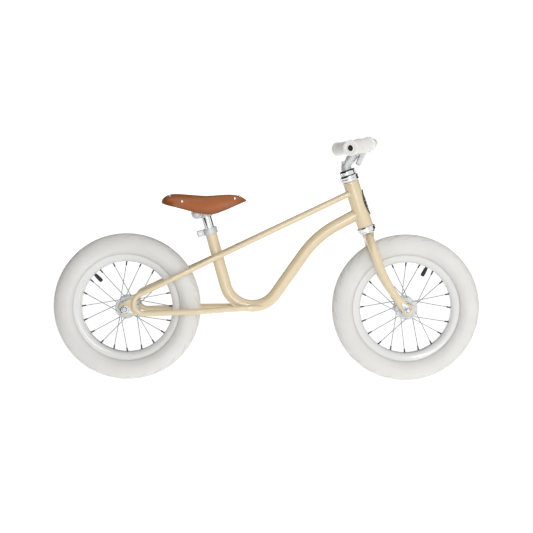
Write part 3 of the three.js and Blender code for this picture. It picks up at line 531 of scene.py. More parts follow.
def makeMainTube():
    joint = inSteering(0, 0, mainTube["joint"])
    slope = math.radians(mainTube["upperAngle"])
    upperWay = Vector((math.cos(slope), 0, math.sin(slope)))
    upperCorner = joint - upperWay * mainTube["upperRun"] * mm
    lowCorner = tangentCorner(collarFoot, upperCorner, lowBendCentre, mainTube["lowBend"] * mm)
    top = inSeat(0, 0, mainTube["collar"])
    path = bentLine([top, lowCorner, upperCorner, joint], [mainTube["lowBend"], mainTube["upperBend"]], 2.5)
    makeFrameTube("bent_main_tube", sweep(path, mainTube["radius"], 48), "main_tube")
    weldBead(tubeOnHead(upperCorner, upperWay, mainTube["radius"]), mainTube["weld"], "main_tube_weld", "frame")


def makeHeadTube():
    outer, bore, length = headTube["radius"], headTube["bore"], headTube["length"]
    profile = [(outer, 0), (outer, length), (bore, length), (bore, 0)]
    shape = turned(profile, headTube["edge"], headFoot, steeringUp)
    makePiece("head_tube_skin", shape, "frame", "cream", ["head_tube"])


stay = {"radius": 6, "headSpread": 8, "seatSpread": 19.1, "wheelSpread": 41, "joint": 80, "bend": 21.7,
        "bendAhead": 40, "bendRise": 11.3, "widensAt": 101, "narrowsAt": 160, "crossing": 49.4, "footBack": 24,
        "tongue": [5.7, 5.0, 3.8, 1.6], "headWeld": 1.1, "crossingWeld": 1.9, "footWeld": 1.8}


def stayCorners(side):
    head = inSteering(0, 0, stay["joint"])
    foot = beside(lowBendCentre, 0, 0, -mainTube["lowBend"] - 2)
    bendCentre = beside(rearAxle, stay["bendAhead"], 0, stay["bendRise"])
    rear = tangentCorner(head, foot, bendCentre, stay["bend"] * mm)
    crossing = inSeat(0, 0, -stay["crossing"])
    wide, close = side * stay["wheelSpread"] * mm, side * stay["seatSpread"] * mm
    return [
        Vector((head.x, side * stay["headSpread"] * mm, head.z)),
        aimAtX(head, rear, crossing.x, close),
        aimAtX(head, rear, rearAxle.x + stay["widensAt"] * mm, wide),
        Vector((rear.x, wide, rear.z)),
        aimAtX(rear, foot, rearAxle.x + stay["narrowsAt"] * mm, wide),
        aimAtX(rear, foot, foot.x - stay["footBack"] * mm, close),
        Vector((foot.x, close, foot.z)),
    ]


def shortWeld(name, bead, start, way, steps, middle, half):
    # A bead that swells from nothing and dies away, a millimetre or two a step.
    path = [start + way * step * mm for step in steps]
    radii = [bead * math.sqrt(max(0.05, 1 - ((step - middle) / half) ** 2)) for step in steps]
    makePiece(name, sweep(path, radii, 12), "frame", "cream")


def makeStays():
    for hand, side in hands:
        corners = stayCorners(side)
        path = bentLine(corners, [80, 80, stay["bend"], 60, 60])
        # The front end of the lower run is pressed to a thin tongue against the main tube.
        drift = Vector((5, -side * 0.5, 0.35)) * mm
        tongue = [path[-1] + drift * step for step in (1, 2, 3, 4)]
        radii = [stay["radius"]] * len(path) + stay["tongue"]
        makeFrameTube(hand + "_stay_tube", sweep(path + tongue, radii, 32), hand + "_stay")
        ring = tubeOnHead(corners[1], (corners[0] - corners[1]).normalized(), stay["radius"], 40)
        weldBead(ring, stay["headWeld"], hand + "_stay_head_weld", "frame")
        along = (corners[1] - corners[2]).normalized()
        for word, shift in (("upper", 1), ("lower", -1)):
            start = beside(corners[1], 0, -side * 3.4, 5.2 * shift)
            shortWeld(hand + "_crossing_weld_" + word, stay["crossingWeld"], start, along, range(-6, 7), 0, 6.5)
        start = beside(corners[-1], 0, -side * 5.2, 4.2)
        shortWeld(hand + "_foot_weld", stay["footWeld"], start, Vector((2.0, 0, 0)), range(-12, 6), -3.5, 9.5)


dropout = {"radius": 13.5, "thickness": 4, "inner": 38, "slot": 5.05, "slotWay": 200, "tabAngle": -32,
           "tabHole": 2.4, "tabReach": 16.5, "web": 26}


def makeDropouts():
    bendX, bendZ = stay["bendAhead"], stay["bendRise"]
    radius, slot, way, web = dropout["radius"], dropout["slot"], dropout["slotWay"], dropout["web"]
    bearing = math.degrees(math.atan2(bendZ, bendX))
    inner, outer = stay["bend"] - 1, stay["bend"] + 1.5
    spread = math.degrees(math.acos((radius - outer) / math.hypot(bendX, bendZ)))
    mouth = math.degrees(math.asin(slot / radius))
    rear, across = math.cos(math.radians(way)), math.sin(math.radians(way))
    lip = math.sqrt(radius ** 2 - slot ** 2) - 1

    def slotEdge(reach, side):
        return rear * reach - across * slot * side, across * reach + rear * slot * side

    outline = arc(0, 0, radius, bearing + spread, way - mouth, 14) + [slotEdge(lip, -1), slotEdge(2, -1)]
    outline += arc(0, 0, slot, way - 90, way - 270, 16) + [slotEdge(2, 1), slotEdge(lip, 1)]
    outline += arc(0, 0, radius, way + mouth, bearing - spread + 360, 14)
    outline += arc(bendX, bendZ, outer, bearing - spread, bearing - spread + web, 5)
    outline += arc(bendX, bendZ, inner, bearing - spread + web, bearing + spread - web - 360, 20)
    outline += arc(bendX, bendZ, outer, bearing + spread - web, bearing + spread, 5)
    tab, reach = math.radians(dropout["tabAngle"]), dropout["tabReach"]
    hole = arc(reach * math.cos(tab), reach * math.sin(tab), dropout["tabHole"], 360, 15, 16)
    for hand, side in hands:
        middle = side * (dropout["inner"] + dropout["thickness"] / 2)

        def toWorld(x, y, depth):
            return beside(rearAxle, x, middle + depth, y)

        shape = plate([outline, hole], dropout["thickness"], 0.6, toWorld)
        makePiece(hand + "_dropout_plate", shape, "frame", "cream", [hand + "_dropout"])


badge = {"height": 57, "width": 31, "thickness": 1.8, "centre": 50, "gap": 0.3, "domes": 18, "bars": (-9, 0, 9)}


def onHead(reach, across, up):
    # A point on the head tube's front, by its way round and up from the badge's centre.
    turn = across / (headTube["radius"] + badge["gap"] + badge["thickness"] * 0.55)
    return inSteering(reach * math.cos(turn), reach * math.sin(turn), badge["centre"] + up)


def badgeSheet(inner, outer, halfHeight, halfWidth, rings=10, sides=64):
    # An oval sheet wrapped round the head tube, as rings from its middle to its edge, front and back.
    verts = []
    for reach in (outer, inner):
        for ring in range(rings + 1):
            share = max(ring / rings, 0.001)
            for side in range(sides):
                angle = 2 * math.pi * side / sides
                verts.append(onHead(reach, halfWidth * share * math.cos(angle), halfHeight * share * math.sin(angle)))
    count = (rings + 1) * sides
    front = gridFaces(rings + 1, sides, False, True)
    back = [[count + index for index in face] for face in front]
    last = rings * sides
    edge = [[last + side, last + (side + 1) % sides, count + last + (side + 1) % sides, count + last + side]
            for side in range(sides)]
    return verts, front + back + edge


def makeBadge():
    inner = headTube["radius"] + badge["gap"]
    outer = inner + badge["thickness"] * 0.55
    half, wide = badge["height"] / 2, badge["width"] / 2
    makePiece("badge_plate", badgeSheet(inner, outer, half - 1, wide - 1), "frame", "badge", ["head_badge"])
    angles = [2 * math.pi * step / 96 for step in range(97)]
    edge = [onHead(outer, (wide - 0.9) * math.cos(angle), (half - 0.9) * math.sin(angle)) for angle in angles]
    makePiece("badge_rim", sweep(edge, 0.8, 10), "frame", "nipple")
    # A plain wreath of small domes inside the rim, and three in its middle.
    domes = []
    for step in range(badge["domes"]):
        angle = 2 * math.pi * (step + 0.5) / badge["domes"]
        up = (half - 5) * math.sin(angle)
        point = onHead(outer, (wide - 4.2) * math.cos(angle), up)
        way = (point - inSteering(0, 0, badge["centre"] + up)).normalized()
        domes.append(lathe([(1.15, -0.4), (1.05, 0.25), (0.6, 0.6), (0, 0.72), (0, -0.4)], point, way, 14))
    boss = [(3.2, -1.2), (3.2, 0.2), (2.6, 0.65), (1.2, 0.85), (0, 0.9), (0, -1.2)]
    for up in badge["bars"]:
        domes.append(lathe(boss, onHead(outer, 0, up), steeringAhead, 24))
    makePiece("badge_domes", together(*domes), "frame", "zinc")


# Headset. Heights run from the head tube's foot; the fit is the bore that the steerer's thread turns in.
headset = {"cup": 20.4, "bore": 13.4, "press": 14.6, "skirt": 18, "race": 17.5, "fit": 12.95, "flat": 16.4,
           "height": 24}


def makeHeadset():
    cup, bore, press, skirt = headset["cup"], headset["bore"], headset["press"], headset["skirt"]
    race, fit, top = headset["race"], headset["fit"], headTube["length"]
    peak = top + headset["height"]
    rings = [
        ("lower_cup", "frame", 0.5, "lower_headset_cup", [
            (bore, 6), (press, 6), (press, -0.3), (cup - 1.6, -0.3), (cup, -2.4), (cup, -8.6), (cup - 0.6, -10.5),
            (skirt, -10.5), (skirt, -4.2), (bore, -4.2)]),
        ("crown_race_ring", "fork", 0.3, "crown_race", [
            (fit, -13.6), (race - 0.2, -13.6), (race, -12.4), (race, -11), (15.9, -9), (fit, -8.8)]),
        ("upper_cup", "frame", 0.5, "upper_headset_cup", [
            (bore, top - 6), (press, top - 6), (press, top + 0.3), (cup - 1.4, top + 0.3), (cup, top + 2),
            (cup, top + 6.6), (skirt, top + 6.6), (skirt, top + 2.6), (bore, top + 2.6)]),
        ("adjusting_ring", "fork", 0.4, "adjusting_race", [
            (fit, top + 7.1), (cup, top + 7.1), (cup, top + 11), (cup - 0.9, top + 12.6), (fit, top + 12.6)]),
    ]
    for name, body, edge, node, profile in rings:
        makePiece(name, turned(profile, edge, headFoot, steeringUp), body, "chrome", [node])
    washer = [(fit, top + 12.75), (17.0, top + 12.75), (17.0, top + 14.1), (fit, top + 14.1)]
    makePiece("headset_washer", lathe(washer, headFoot, steeringUp), "fork", "black")
    seal = [(13.2, peak + 0.1), (16.4, peak + 0.1), (16.8, peak + 0.5), (16.4, peak + 1.3), (13.2, peak + 1.3)]
    makePiece("headset_top_seal", lathe(seal, headFoot, steeringUp), "fork", "black")
    nut = [(fit, top + 14.2), (16.6, top + 14.2), (race, top + 15.2), (race, peak - 2.2), (15.6, peak - 0.4),
           (14.2, peak), (11.7, peak), (11.7, peak - 2.1), (fit, peak - 2.1)]
    shape = lathe(rounded(nut, 0.35), headFoot, steeringUp, 96, 6, headset["flat"])
    makePiece("headset_nut", shape, "fork", "chrome", ["headset_locknut"])


# Fork.
fork = {"steerer": 12.7, "bladeTop": 10.0, "bladeFoot": 7.6, "spread": 41, "crownDrop": 20, "shoulder": 33,
        "setback": -2, "curveStart": -70, "shoulderBend": 30, "pressed": (2.9, 9.6), "endRadius": 13,
        "endThickness": 5, "endInner": 38, "tabAngle": 131, "tabReach": 16, "tabHole": 2.4, "bore": 5.1,
        "steererFoot": -24, "steererWall": 1.35}
rake = (frontAxle - headFoot).dot(steeringAhead) / mm
axleDrop = (frontAxle - headFoot).dot(steeringUp) / mm


def bladePath(side):
    start, back, spread = fork["curveStart"], fork["setback"], side * fork["spread"]
    upper = bentLine([inSteering(0, 0, -fork["crownDrop"]), inSteering(back, spread, -fork["shoulder"]),
                      inSteering(back, spread, start)], [fork["shoulderBend"]], 6)
    drop, rise = start - axleDrop, rake - back
    radius = (drop * drop + rise * rise) / (2 * rise)
    sweepAngle = math.asin(drop / radius)
    lower = []
    for step in range(1, 25):
        angle = sweepAngle * 0.93 * step / 24
        lower.append(inSteering(back + radius * (1 - math.cos(angle)), spread, start - radius * math.sin(angle)))
    return upper, lower


def makeFork():
    steerer, foot, thick = fork["steerer"], fork["steererFoot"], fork["endThickness"]
    seat = [(0, foot), (steerer, foot + 2), (13.4, -16), (14.6, -13.9), (0, -13.9)]
    solids = [lathe([(steerer, foot), (steerer, 20), (0, 20), (0, foot)], headFoot, steeringUp),
              lathe(seat, headFoot, steeringUp)]
    endMiddle = thick / 2 + fork["endInner"]
    for side in (1, -1):
        upper, lower = bladePath(side)
        radii = [(fork["bladeTop"], fork["bladeTop"])] * len(upper)
        inward = (endMiddle - fork["spread"]) * side
        for index in range(len(lower)):
            share = (index + 1) / len(lower)
            taper = fork["bladeTop"] + (fork["bladeFoot"] - fork["bladeTop"]) * share
            press = max(0.0, (share - 0.72) / 0.28)
            press = press * press * (3 - 2 * press)
            radii.append(tuple(taper * (1 - press) + flat * press for flat in fork["pressed"]))
            lower[index] += sideways * inward * press * mm
        solids.append(sweep((upper + lower)[::-1], radii[::-1], 40, sideways))
        outline = arc(0, 0, fork["endRadius"], -190, 80, 40) + arc(-13, 22, 9, 60, 150, 12)

        def toWorld(x, y, depth):
            return frontAxle + (steeringAhead * x + steeringUp * y) * mm + sideways * (endMiddle * side + depth) * mm

        solids.append(plate([outline], thick, 1.0, toWorld))
    piece = rawObject("unicrown_fork", together(*solids))
    fuse(piece, 0.8, 7)
    tab, reach = math.radians(fork["tabAngle"]), fork["tabReach"]
    for side in (1, -1):
        for hole, sides, ahead, up in ((fork["bore"], 32, 0, 0),
                                       (fork["tabHole"], 20, reach * math.cos(tab), reach * math.sin(tab))):
            profile = [(hole, -8), (hole, 8), (0, 8), (0, -8)]
            carve(piece, lathe(profile, beside(frontAxle, ahead, side * endMiddle, up), sideways, sides))
    markSharp(piece)
    settle(piece, "fork", "cream", ["fork"])
    top, inside = headTube["length"] + 21.6, steerer - fork["steererWall"]
    tube = [(steerer, -10), (steerer, top), (inside, top), (inside, -10)]
    makePiece("steerer_tube", lathe(tube, headFoot, steeringUp), "fork", "zinc")


# Axles.
axle = {"radius": 4.75, "nutFlat": 7.5, "nutHeight": 8, "washer": 8.4, "washerThickness": 1.6, "tabReach": 16.5,
        "gap": 0.3, "pitch": 1.0, "tab": 2.6}


def makeAxle(end, centre, body, plateFace, tabAngle):
    radius, thick, gap, pitch = axle["radius"], axle["washerThickness"], axle["gap"], axle["pitch"]
    washerMiddle = plateFace + gap + thick / 2
    nutFoot = plateFace + 2 * gap + thick
    height = axle["nutHeight"]
    reach = nutFoot + height + 2
    profile = [(0, -reach)]
    turns = int(2 * reach / pitch)
    for turn in range(turns):
        low = -reach + turn * pitch
        edge = 0.5 if turn in (0, turns - 1) else 0.0
        profile += [(radius - 0.35 - edge, low), (radius - edge, low + pitch * 0.5)]
    profile += [(radius - 0.7, reach), (0, reach)]
    makePiece(end + "_axle_thread", lathe(profile, centre, sideways, 24, closed=False), body, "zinc", [end + "_axle"])
    bearing = math.radians(tabAngle)
    tip = (axle["tabReach"] * math.cos(bearing), axle["tabReach"] * math.sin(bearing))
    spread = math.degrees(math.acos((axle["washer"] - axle["tab"]) / axle["tabReach"]))
    outline = arc(0, 0, axle["washer"], tabAngle + spread, tabAngle - spread + 360, 32)
    outline += arc(*tip, axle["tab"], tabAngle - spread, tabAngle + spread, 10)
    hole = arc(0, 0, radius + 0.3, 360, 11.25, 31)
    corner = axle["nutFlat"] / math.cos(math.pi / 6)
    nut = [(radius + 0.25, 0), (corner - 0.9, 0), (corner, 0.8), (corner, height - 2.0),
           (corner - 1.5, height - 0.6), (corner - 2.2, height), (radius + 0.9, height),
           (radius + 0.25, height - 0.8)]
    for hand, side in hands:

        def toWorld(x, y, depth):
            return beside(centre, x, side * washerMiddle + depth, y)

        washer = plate([outline, hole], thick, 0.35, toWorld)
        pinHead = beside(centre, tip[0], side * (plateFace + 0.4), tip[1])
        pin = lathe([(2.0, -3.2), (2.0, 0), (0, 0), (0, -3.2)], pinHead, sideways * side, 16)
        makePiece(f"{hand}_{end}_washer", together(washer, pin), body, "zinc", [f"{hand}_{end}_tab_washer"])
        place = centre + sideways * side * nutFoot * mm
        shape = lathe(nut, place, sideways * side, 72, 6, axle["nutFlat"])
        makePiece(f"{hand}_{end}_nut", shape, body, "chrome", [f"{hand}_{end}_axle_nut"], 24)


# Wheels.
tyre = {"pitches": 26, "grooveDepth": 1.6, "curl": 1.1, "grooveFrom": 7, "grooveTo": 22, "side": 145,
        "section": [(115.75, 14.8), (115.9, 17.3), (118.2, 20.6), (121.8, 23.7), (127, 26.2), (132.5, 27),
                    (139, 26.5), (145.5, 24.4), (150.8, 21.2), (154.6, 17.2), (157.2, 12.2), (158.5, 6.5),
                    (159, 0)],
        "cavity": [(103.6, 12.3), (103.6, 9), (113, 12.5), (122, 20), (136, 22.6), (149, 16.5), (153.5, 0)],
        "grooveAndShade": [(0.0, 0), (0.3, 0), (0.6, 0), (0.885, 0), (0.9, 1), (0.95, 1), (0.965, 0)]}


def treadDepth(y, radius):
    # Grooves start beside the crown and run out on the shoulder.
    side = abs(y)
    inner = min(1.0, max(0.0, (side - tyre["grooveFrom"]) / 1.5))
    outer = min(1.0, max(0.0, (tyre["grooveTo"] - side) / 1.5))
    return tyre["grooveDepth"] * inner * outer if radius > 138 else 0.0


def mirrored(half, side):
    # Both halves of a section that meet at its last point, the given side first.
    return [(radius, side * y) for radius, y in half] + [(radius, -side * y) for radius, y in half[-2::-1]]


def makeTyre(end, centre, body):
    outer = mirrored(smoothThrough(tyre["section"], 4), -1)
    rows = outer + mirrored(tyre["cavity"], 1)
    columns = [(pitch + share, cutIn) for pitch in range(tyre["pitches"]) for share, cutIn in tyre["grooveAndShade"]]
    verts, grooveShade = [], []
    for index, (radius, y) in enumerate(rows):
        onTread = index < len(outer)
        onCrown = radius > tyre["side"]
        curl = max(0.0, (abs(y) - 7) / 18) ** 2 if onCrown else max(0.0, (radius - 125) / 20.0)
        lean = tyre["curl"] * curl if onTread else 0.0
        shift = 0.5 * min(1.0, y / 7.0) if onTread and y > 0 else 0.0
        for turn, cutIn in columns:
            angle = 2 * math.pi * (turn + lean + shift) / tyre["pitches"]
            depth = treadDepth(y, radius) * cutIn if onTread else 0
            reach = radius - depth
            grooveShade.append(min(1.0, depth / tyre["grooveDepth"]))
            verts.append(beside(centre, reach * math.cos(angle), y, reach * math.sin(angle)))
    shape = (verts, gridFaces(len(rows), len(columns), True, True))
    piece = makePiece(end + "_tyre_casing", shape, body, "tyre", [end + "_tyre"], 30)
    # The mask of painted groove shade, by how deep each point is cut in; the tyre's finish darkens these points.
    marks = piece.data.attributes.new("grooveAndShade", "FLOAT", "POINT")
    for mark, value in zip(marks.data, grooveShade):
        mark.value = value
    ribs = []
    for side in (1, -1):
        for radius, y, rib in ((118.6, 21.0, 0.5), (129.5, 26.8, 0.28)):
            ring = [(radius + rib * math.cos(step * math.pi / 3), side * y + rib * math.sin(step * math.pi / 3))
                    for step in range(6)]
            ribs.append(lathe(ring, centre, sideways, 120))
    makePiece(end + "_tyre_ribs", together(*ribs), body, "tyre")


rim = {"edge": 115.5, "foot": 98, "lip": 17, "wall": 1.6}


def makeRim(end, centre, body, valveAngle):
    foot, edge, lip, wall = rim["foot"], rim["edge"], rim["lip"], rim["wall"]
    half = smoothThrough([(foot, 3), (foot + 0.6, 7.5), (foot + 2.6, 11.2), (foot + 7, 14.2), (foot + 12.5, 15.6),
                          (edge - 1.6, 15.9), (edge - 0.5, lip)], 3)
    half += [(edge, lip - 0.3), (edge, lip - wall), (foot + 13, 13.9), (foot + 8, 12.4), (foot + 3.8, 9.4),
             (foot + 1.8, 6), (foot + 1.8, 3)]
    profile = [tuple(pair) for pair in half] + [(radius, -y) for radius, y in half[::-1]]
    piece = rawObject(end + "_rim_hoop", lathe(profile, centre, sideways, 144))
    angle = math.radians(valveAngle)
    way = Vector((math.cos(angle), 0, math.sin(angle)))
    carve(piece, lathe([(3.9, foot - 3), (3.9, foot + 5), (0, foot + 5), (0, foot - 3)], centre, way, 24))
    markSharp(piece)
    settle(piece, body, "rim", [end + "_rim"])


hub = {"shell": 16, "half": 30, "flange": 23.8, "spacing": 22, "thickness": 2.8, "holeCircle": 20.4, "bore": 13.1}
spoke = {"count": 20, "radius": 0.9, "cross": 2, "nippleRadius": 1.6, "nippleLength": 8.5}


def makeHub(end, centre, body):
    shell, half, flange = hub["shell"], hub["half"], hub["flange"]
    outside, inside = hub["spacing"] + hub["thickness"] / 2, hub["spacing"] - hub["thickness"] / 2
    upper = rounded([
        (11.5, 0), (11.5, 10), (13.5, inside - 2), (flange, inside), (flange, outside), (shell + 1, outside),
        (shell, outside + 1.2), (shell, half - 1), (shell - 0.8, half), (hub["bore"], half), (hub["bore"], 19),
        (7, 19), (7, 0)], 0.5, 3, False)
    full = upper + [(radius, -y) for radius, y in upper[-2:0:-1]]
    makePiece(end + "_hub_shell", lathe(full, centre, sideways, 64), body, "satin", [end + "_hub_and_spokes"])
    wires, nipples, heads = [], [], []
    pitch = 2 * math.pi / spoke["count"]
    circle, tipCircle, size, length = hub["holeCircle"], rim["foot"] + 1, spoke["nippleRadius"], spoke["nippleLength"]
    nipple = [(0, -1.5), (2.2, -1.2), (2.3, 0.2), (size, 1.0), (size, length - 1), (size - 0.5, length), (0, length)]
    head = [(0, -0.3), (1.9, -0.3), (1.7, 0.4), (1.0, 0.9), (0, 1.05)]

    def around(radius, angle, y):
        return beside(centre, radius * math.cos(angle), y, radius * math.sin(angle))

    for index in range(spoke["count"]):
        side = 1 if index % 2 == 0 else -1
        lead = 1 if (index // 2) % 2 == 0 else -1
        hubAngle = (index + lead * spoke["cross"]) * pitch
        # Each spoke hooks through its flange from the inner or the outer face.
        face = hub["spacing"] + lead * (hub["thickness"] / 2 + spoke["radius"])
        away = hub["spacing"] - lead * (hub["thickness"] / 2 + 0.2)
        hole, turn = around(circle, hubAngle, side * away), around(circle, hubAngle, side * face)
        tip = around(tipCircle, index * pitch, side * 2.5)
        wires.append(sweep(bentLine([hole, turn, tip], [1.6], 12), spoke["radius"], 12))
        outward = sideways * side * -lead
        heads.append(lathe(head, hole, outward, 14, closed=False))
        way = (turn - tip).normalized()
        nipples.append(lathe(nipple, tip + way * 1.2 * mm, way, 16, closed=False))
    makePiece(end + "_spoke_wires", together(*wires), body, "spoke")
    makePiece(end + "_spoke_heads", together(*heads), body, "satin")
    makePiece(end + "_spoke_nipples", together(*nipples), body, "nipple")


valve = {"stem": 3.2, "cap": 4.2, "capFoot": 77, "capTop": 95, "ridges": 16}


def makeValve(end, centre, body, valveAngle):
    angle = math.radians(valveAngle)
    way = Vector((math.cos(angle), 0, math.sin(angle)))
    stem = [(0, 80.5), (2.6, 80.5), (2.6, 94), (valve["stem"], 95), (valve["stem"], 100), (0, 100)]
    makePiece(end + "_valve_stem", lathe(stem, centre, way, 24, closed=False), body, "black")
    verts = []
    profile = [(0, valve["capFoot"]), (2.9, valve["capFoot"]), (3.7, 78), (valve["cap"], 79.5), (valve["cap"], 89),
               (3.9, 90), (3.9, valve["capTop"]), (3.0, valve["capTop"]), (3.0, 80), (0, 80)]
    sides = valve["ridges"] * 4
    across = sideways.cross(way)
    for radius, height in profile:
        for side in range(sides):
            ridge = 0.3 if side % 4 in (2, 3) and 79 < height < 89.5 and radius > 3.8 else 0.0
            turn = 2 * math.pi * side / sides
            spread = sideways * math.cos(turn) + across * math.sin(turn)
            verts.append(centre + (way * height + spread * (radius - ridge)) * mm)
    shape = (verts, gridFaces(len(profile), sides, False, True))
    makePiece(end + "_valve_top", shape, body, "black", [end + "_valve_cap"])


# Seat.
collar = {"bore": 13.0, "outer": 15.7, "height": 13.5, "slit": 3, "ear": 5, "reach": 29, "bolt": 22}


def makeCollar():
    outer, ear, slit = collar["outer"], collar["slit"] / 2 + collar["ear"], collar["slit"] / 2
    turnIn = math.degrees(math.asin(ear / outer))
    boreIn = math.degrees(math.asin(slit / collar["bore"]))
    outline = arc(0, 0, outer, 180 + turnIn, 540 - turnIn, 44)
    outline += [(-collar["reach"] + 1.5, ear), (-collar["reach"], ear - 1.5), (-collar["reach"], slit)]
    outline += arc(0, 0, collar["bore"], 180 - boreIn, -180 + boreIn, 40)
    outline += [(-collar["reach"], -slit), (-collar["reach"], -ear + 1.5), (-collar["reach"] + 1.5, -ear)]

    def toWorld(x, y, depth):
        return inSeat(x, y, collar["height"] / 2 + depth)

    shape = plate([outline], collar["height"], 0.7, toWorld)
    lip = lathe([(11.5, 12.4), (13.2, 12.4), (13.2, 13.3), (11.5, 13.3)], collarFoot, seatUp, 48)
    makePiece("collar_band", together(shape, lip), "frame", "satin", ["seat_collar"])
    middle = inSeat(-collar["bolt"], 0, collar["height"] / 2)
    head = [(0, 0.5), (1.3, 0.5), (1.3, 1.0), (2.1, 1.0), (2.4, 0.7), (2.4, 0.2), (0, 0.2)]
    solids = []
    for side in (1, -1):
        foot = middle + sideways * side * (ear - 0.1) * mm
        bolt = head if side < 0 else [(0, 1.2), (2.0, 1.2), (2.4, 0.9), (2.4, 0.2), (0, 0.2)]
        solids.append(lathe(bolt, foot, sideways * side, 36, 0 if side < 0 else 6, 4.0, closed=False))
    solids.append(rod(3, -9, 9, middle, sideways, 24))
    makePiece("collar_bolt", together(*solids), "frame", "zinc", ["seat_collar_bolt"])


post = {"radius": 11.1, "bore": 9.5, "top": 52, "foot": -75}


def makeSeatPost():
    radius, bore, foot, top = post["radius"], post["bore"], post["foot"], post["top"]
    tube = turned([(radius, foot), (radius, top), (bore, top), (bore, foot)], 0.4, collarFoot, seatUp)
    makePiece("seat_post_tube", tube, "seat_post", "chrome", ["seat_post"])
    band = turned([(11.4, 38), (14.4, 38), (14.4, 51.5), (11.4, 51.5)], 0.8, collarFoot, seatUp, 56)
    barrel = turned([(4.3, -14.6), (8, -14.6), (8, 14.6), (4.3, 14.6)], 0.6, clampCentre, sideways, 48)
    makePiece("saddle_clamp_band", together(band, barrel), "seat_post", "satin", ["saddle_clamp"])
    cap = [(4, 26.9), (7.4, 26.9), (7.4, 27.6), (6.2, 28.4), (3.6, 28.9), (0, 29.1)]
    solids = [rod(4, -28, 28, clampCentre, sideways, 28)]
    for side in (1, -1):
        solids.append(lathe(cap, clampCentre, sideways * side, closed=False))
    makePiece("saddle_clamp_screw", together(*solids), "seat_post", "satin", ["saddle_clamp_bolt"])


saddle = {"thickness": 3.6, "fullness": 2.3,
          "rivets": [(-28, 0.66), (-28, -0.66), (81, 0.52), (81, -0.52), (-58, 0.3), (-58, -0.3), (90, 0.0)]}
# From the rear to the nose: distance forward of the clamp, half width, crest and skirt edge, from the clamp bolt.
saddleStations = [
    (-76, 10, 25.6, 22.4), (-75, 24, 28.8, 22.4), (-71, 42, 33.6, 21.6), (-64, 55, 38.0, 20.2),
    (-54, 63.5, 40.4, 17.8), (-42, 67, 40.9, 15.2), (-22, 62, 39.7, 9.6), (-2, 52, 38.3, 3.6), (16, 43, 37.4, 0.0),
    (28, 38.5, 37.7, -1.2),
    (40, 34.6, 38.5, 0.2), (53, 31, 39.5, 4.6), (68, 28, 40.2, 10.6), (83, 25.0, 39.0, 17.4), (94, 20, 35.5, 22.2),
    (101, 13, 31.6, 25.0), (105, 6, 29.0, 26.2)]


def saddlePoint(station, share):
    # Share runs from minus one at one skirt edge, over the crest at nought, to one at the other.
    x, half, crest, skirt = station
    turn = abs(share) * math.pi / 2
    power = 2 / saddle["fullness"]
    y = math.copysign(half * math.sin(turn) ** power, share)
    height = skirt + (crest - skirt) * math.cos(turn) ** power if turn < math.pi / 2 - 1e-6 else skirt
    tuck = 1 - 0.10 * max(0.0, (crest - skirt - 22) / 16) * abs(share) ** 6
    return beside(clampCentre, x, y * tuck, height)


def makeSaddle():
    stations = smoothThrough(saddleStations, 6)
    columns = 64
    shares = [-1 + 2 * column / (columns - 1) for column in range(columns)]
    verts = [saddlePoint(station, share) for station in stations for share in shares]
    piece = rawObject("leather_saddle", (verts, gridFaces(len(stations), columns, False, False)), 180)
    applyModifier(piece, "SOLIDIFY", thickness=saddle["thickness"] * mm, offset=-1.0, use_even_offset=True)
    applyModifier(piece, "BEVEL", width=1.0 * mm, segments=2, limit_method="ANGLE", angle_limit=math.radians(60))
    applyModifier(piece, "SUBSURF", levels=1, render_levels=1)
    smoothAll(piece)
    # The edge mark for the finish: darker within 15 mm above the skirt's lower edge and 12 mm from either end, partly
    # a burnished edge and partly painted shade.
    shadeAndWear = piece.data.attributes.new("edge", "FLOAT", "POINT")
    for mark, vertex in zip(shadeAndWear.data, piece.data.vertices):
        x, height = (vertex.co.x - clampCentre.x) / mm, (vertex.co.z - clampCentre.z) / mm
        skirt = min(stations, key=lambda station: abs(station[0] - x))[3]
        low = (1 - min(1.0, max(0.0, (height - skirt) / 15.0))) ** 1.6
        ends = max(0.0, 1 - min(x + 78, 107 - x) / 12.0)
        mark.value = max(low * 0.9, ends * 0.8)
    settle(piece, "saddle", "leather", ["saddle_cover"])
    rivets = []
    dome = [(0, -1), (3.3, -1), (3.4, 0.2), (3.1, 0.8), (2.5, 1.3), (1.6, 1.7), (0.7, 1.9), (0, 1.95)]
    for x, share in saddle["rivets"]:
        station, after = (min(stations, key=lambda entry: abs(entry[0] - x - ahead)) for ahead in (0, 4))
        here = saddlePoint(station, share)
        across = saddlePoint(station, share + 0.03) - saddlePoint(station, share - 0.03)
        along = saddlePoint(after, share) - here
        out = along.cross(across).normalized()
        out = out if out.z > 0 else -out
        rivets.append(lathe(dome, here, out, 32, closed=False))
    makePiece("saddle_rivets", together(*rivets), "saddle", "chrome")


railSet = {"radius": 3.5, "half": 21, "rise": 12, "base": 21.7, "clamp": 14.9}


def makeBase():
    # The moulded base follows the leather a little way inside it.
    stations = [entry for entry in smoothThrough(saddleStations, 4) if -68 < entry[0] < 84]
    foot, thick, inset = 24.2, 3.0, 8.5
    outline = []
    for x, half, crest, skirt in stations:
        share = min(1.0, max(0.0, (foot + thick - skirt) / max(crest - skirt, 1.0)))
        room = half * (1 - share ** saddle["fullness"]) ** (1 / saddle["fullness"]) - inset
        if room > 2:
            outline.append((x, room))
    outline += [(x, -y) for x, y in outline[::-1]]

    def toWorld(x, y, depth):
        return beside(clampCentre, x, y, foot + thick / 2 + depth)

    makePiece("moulded_saddle_base", plate([outline], thick, 0.6, toWorld), "saddle", "plastic", ["saddle_base"])


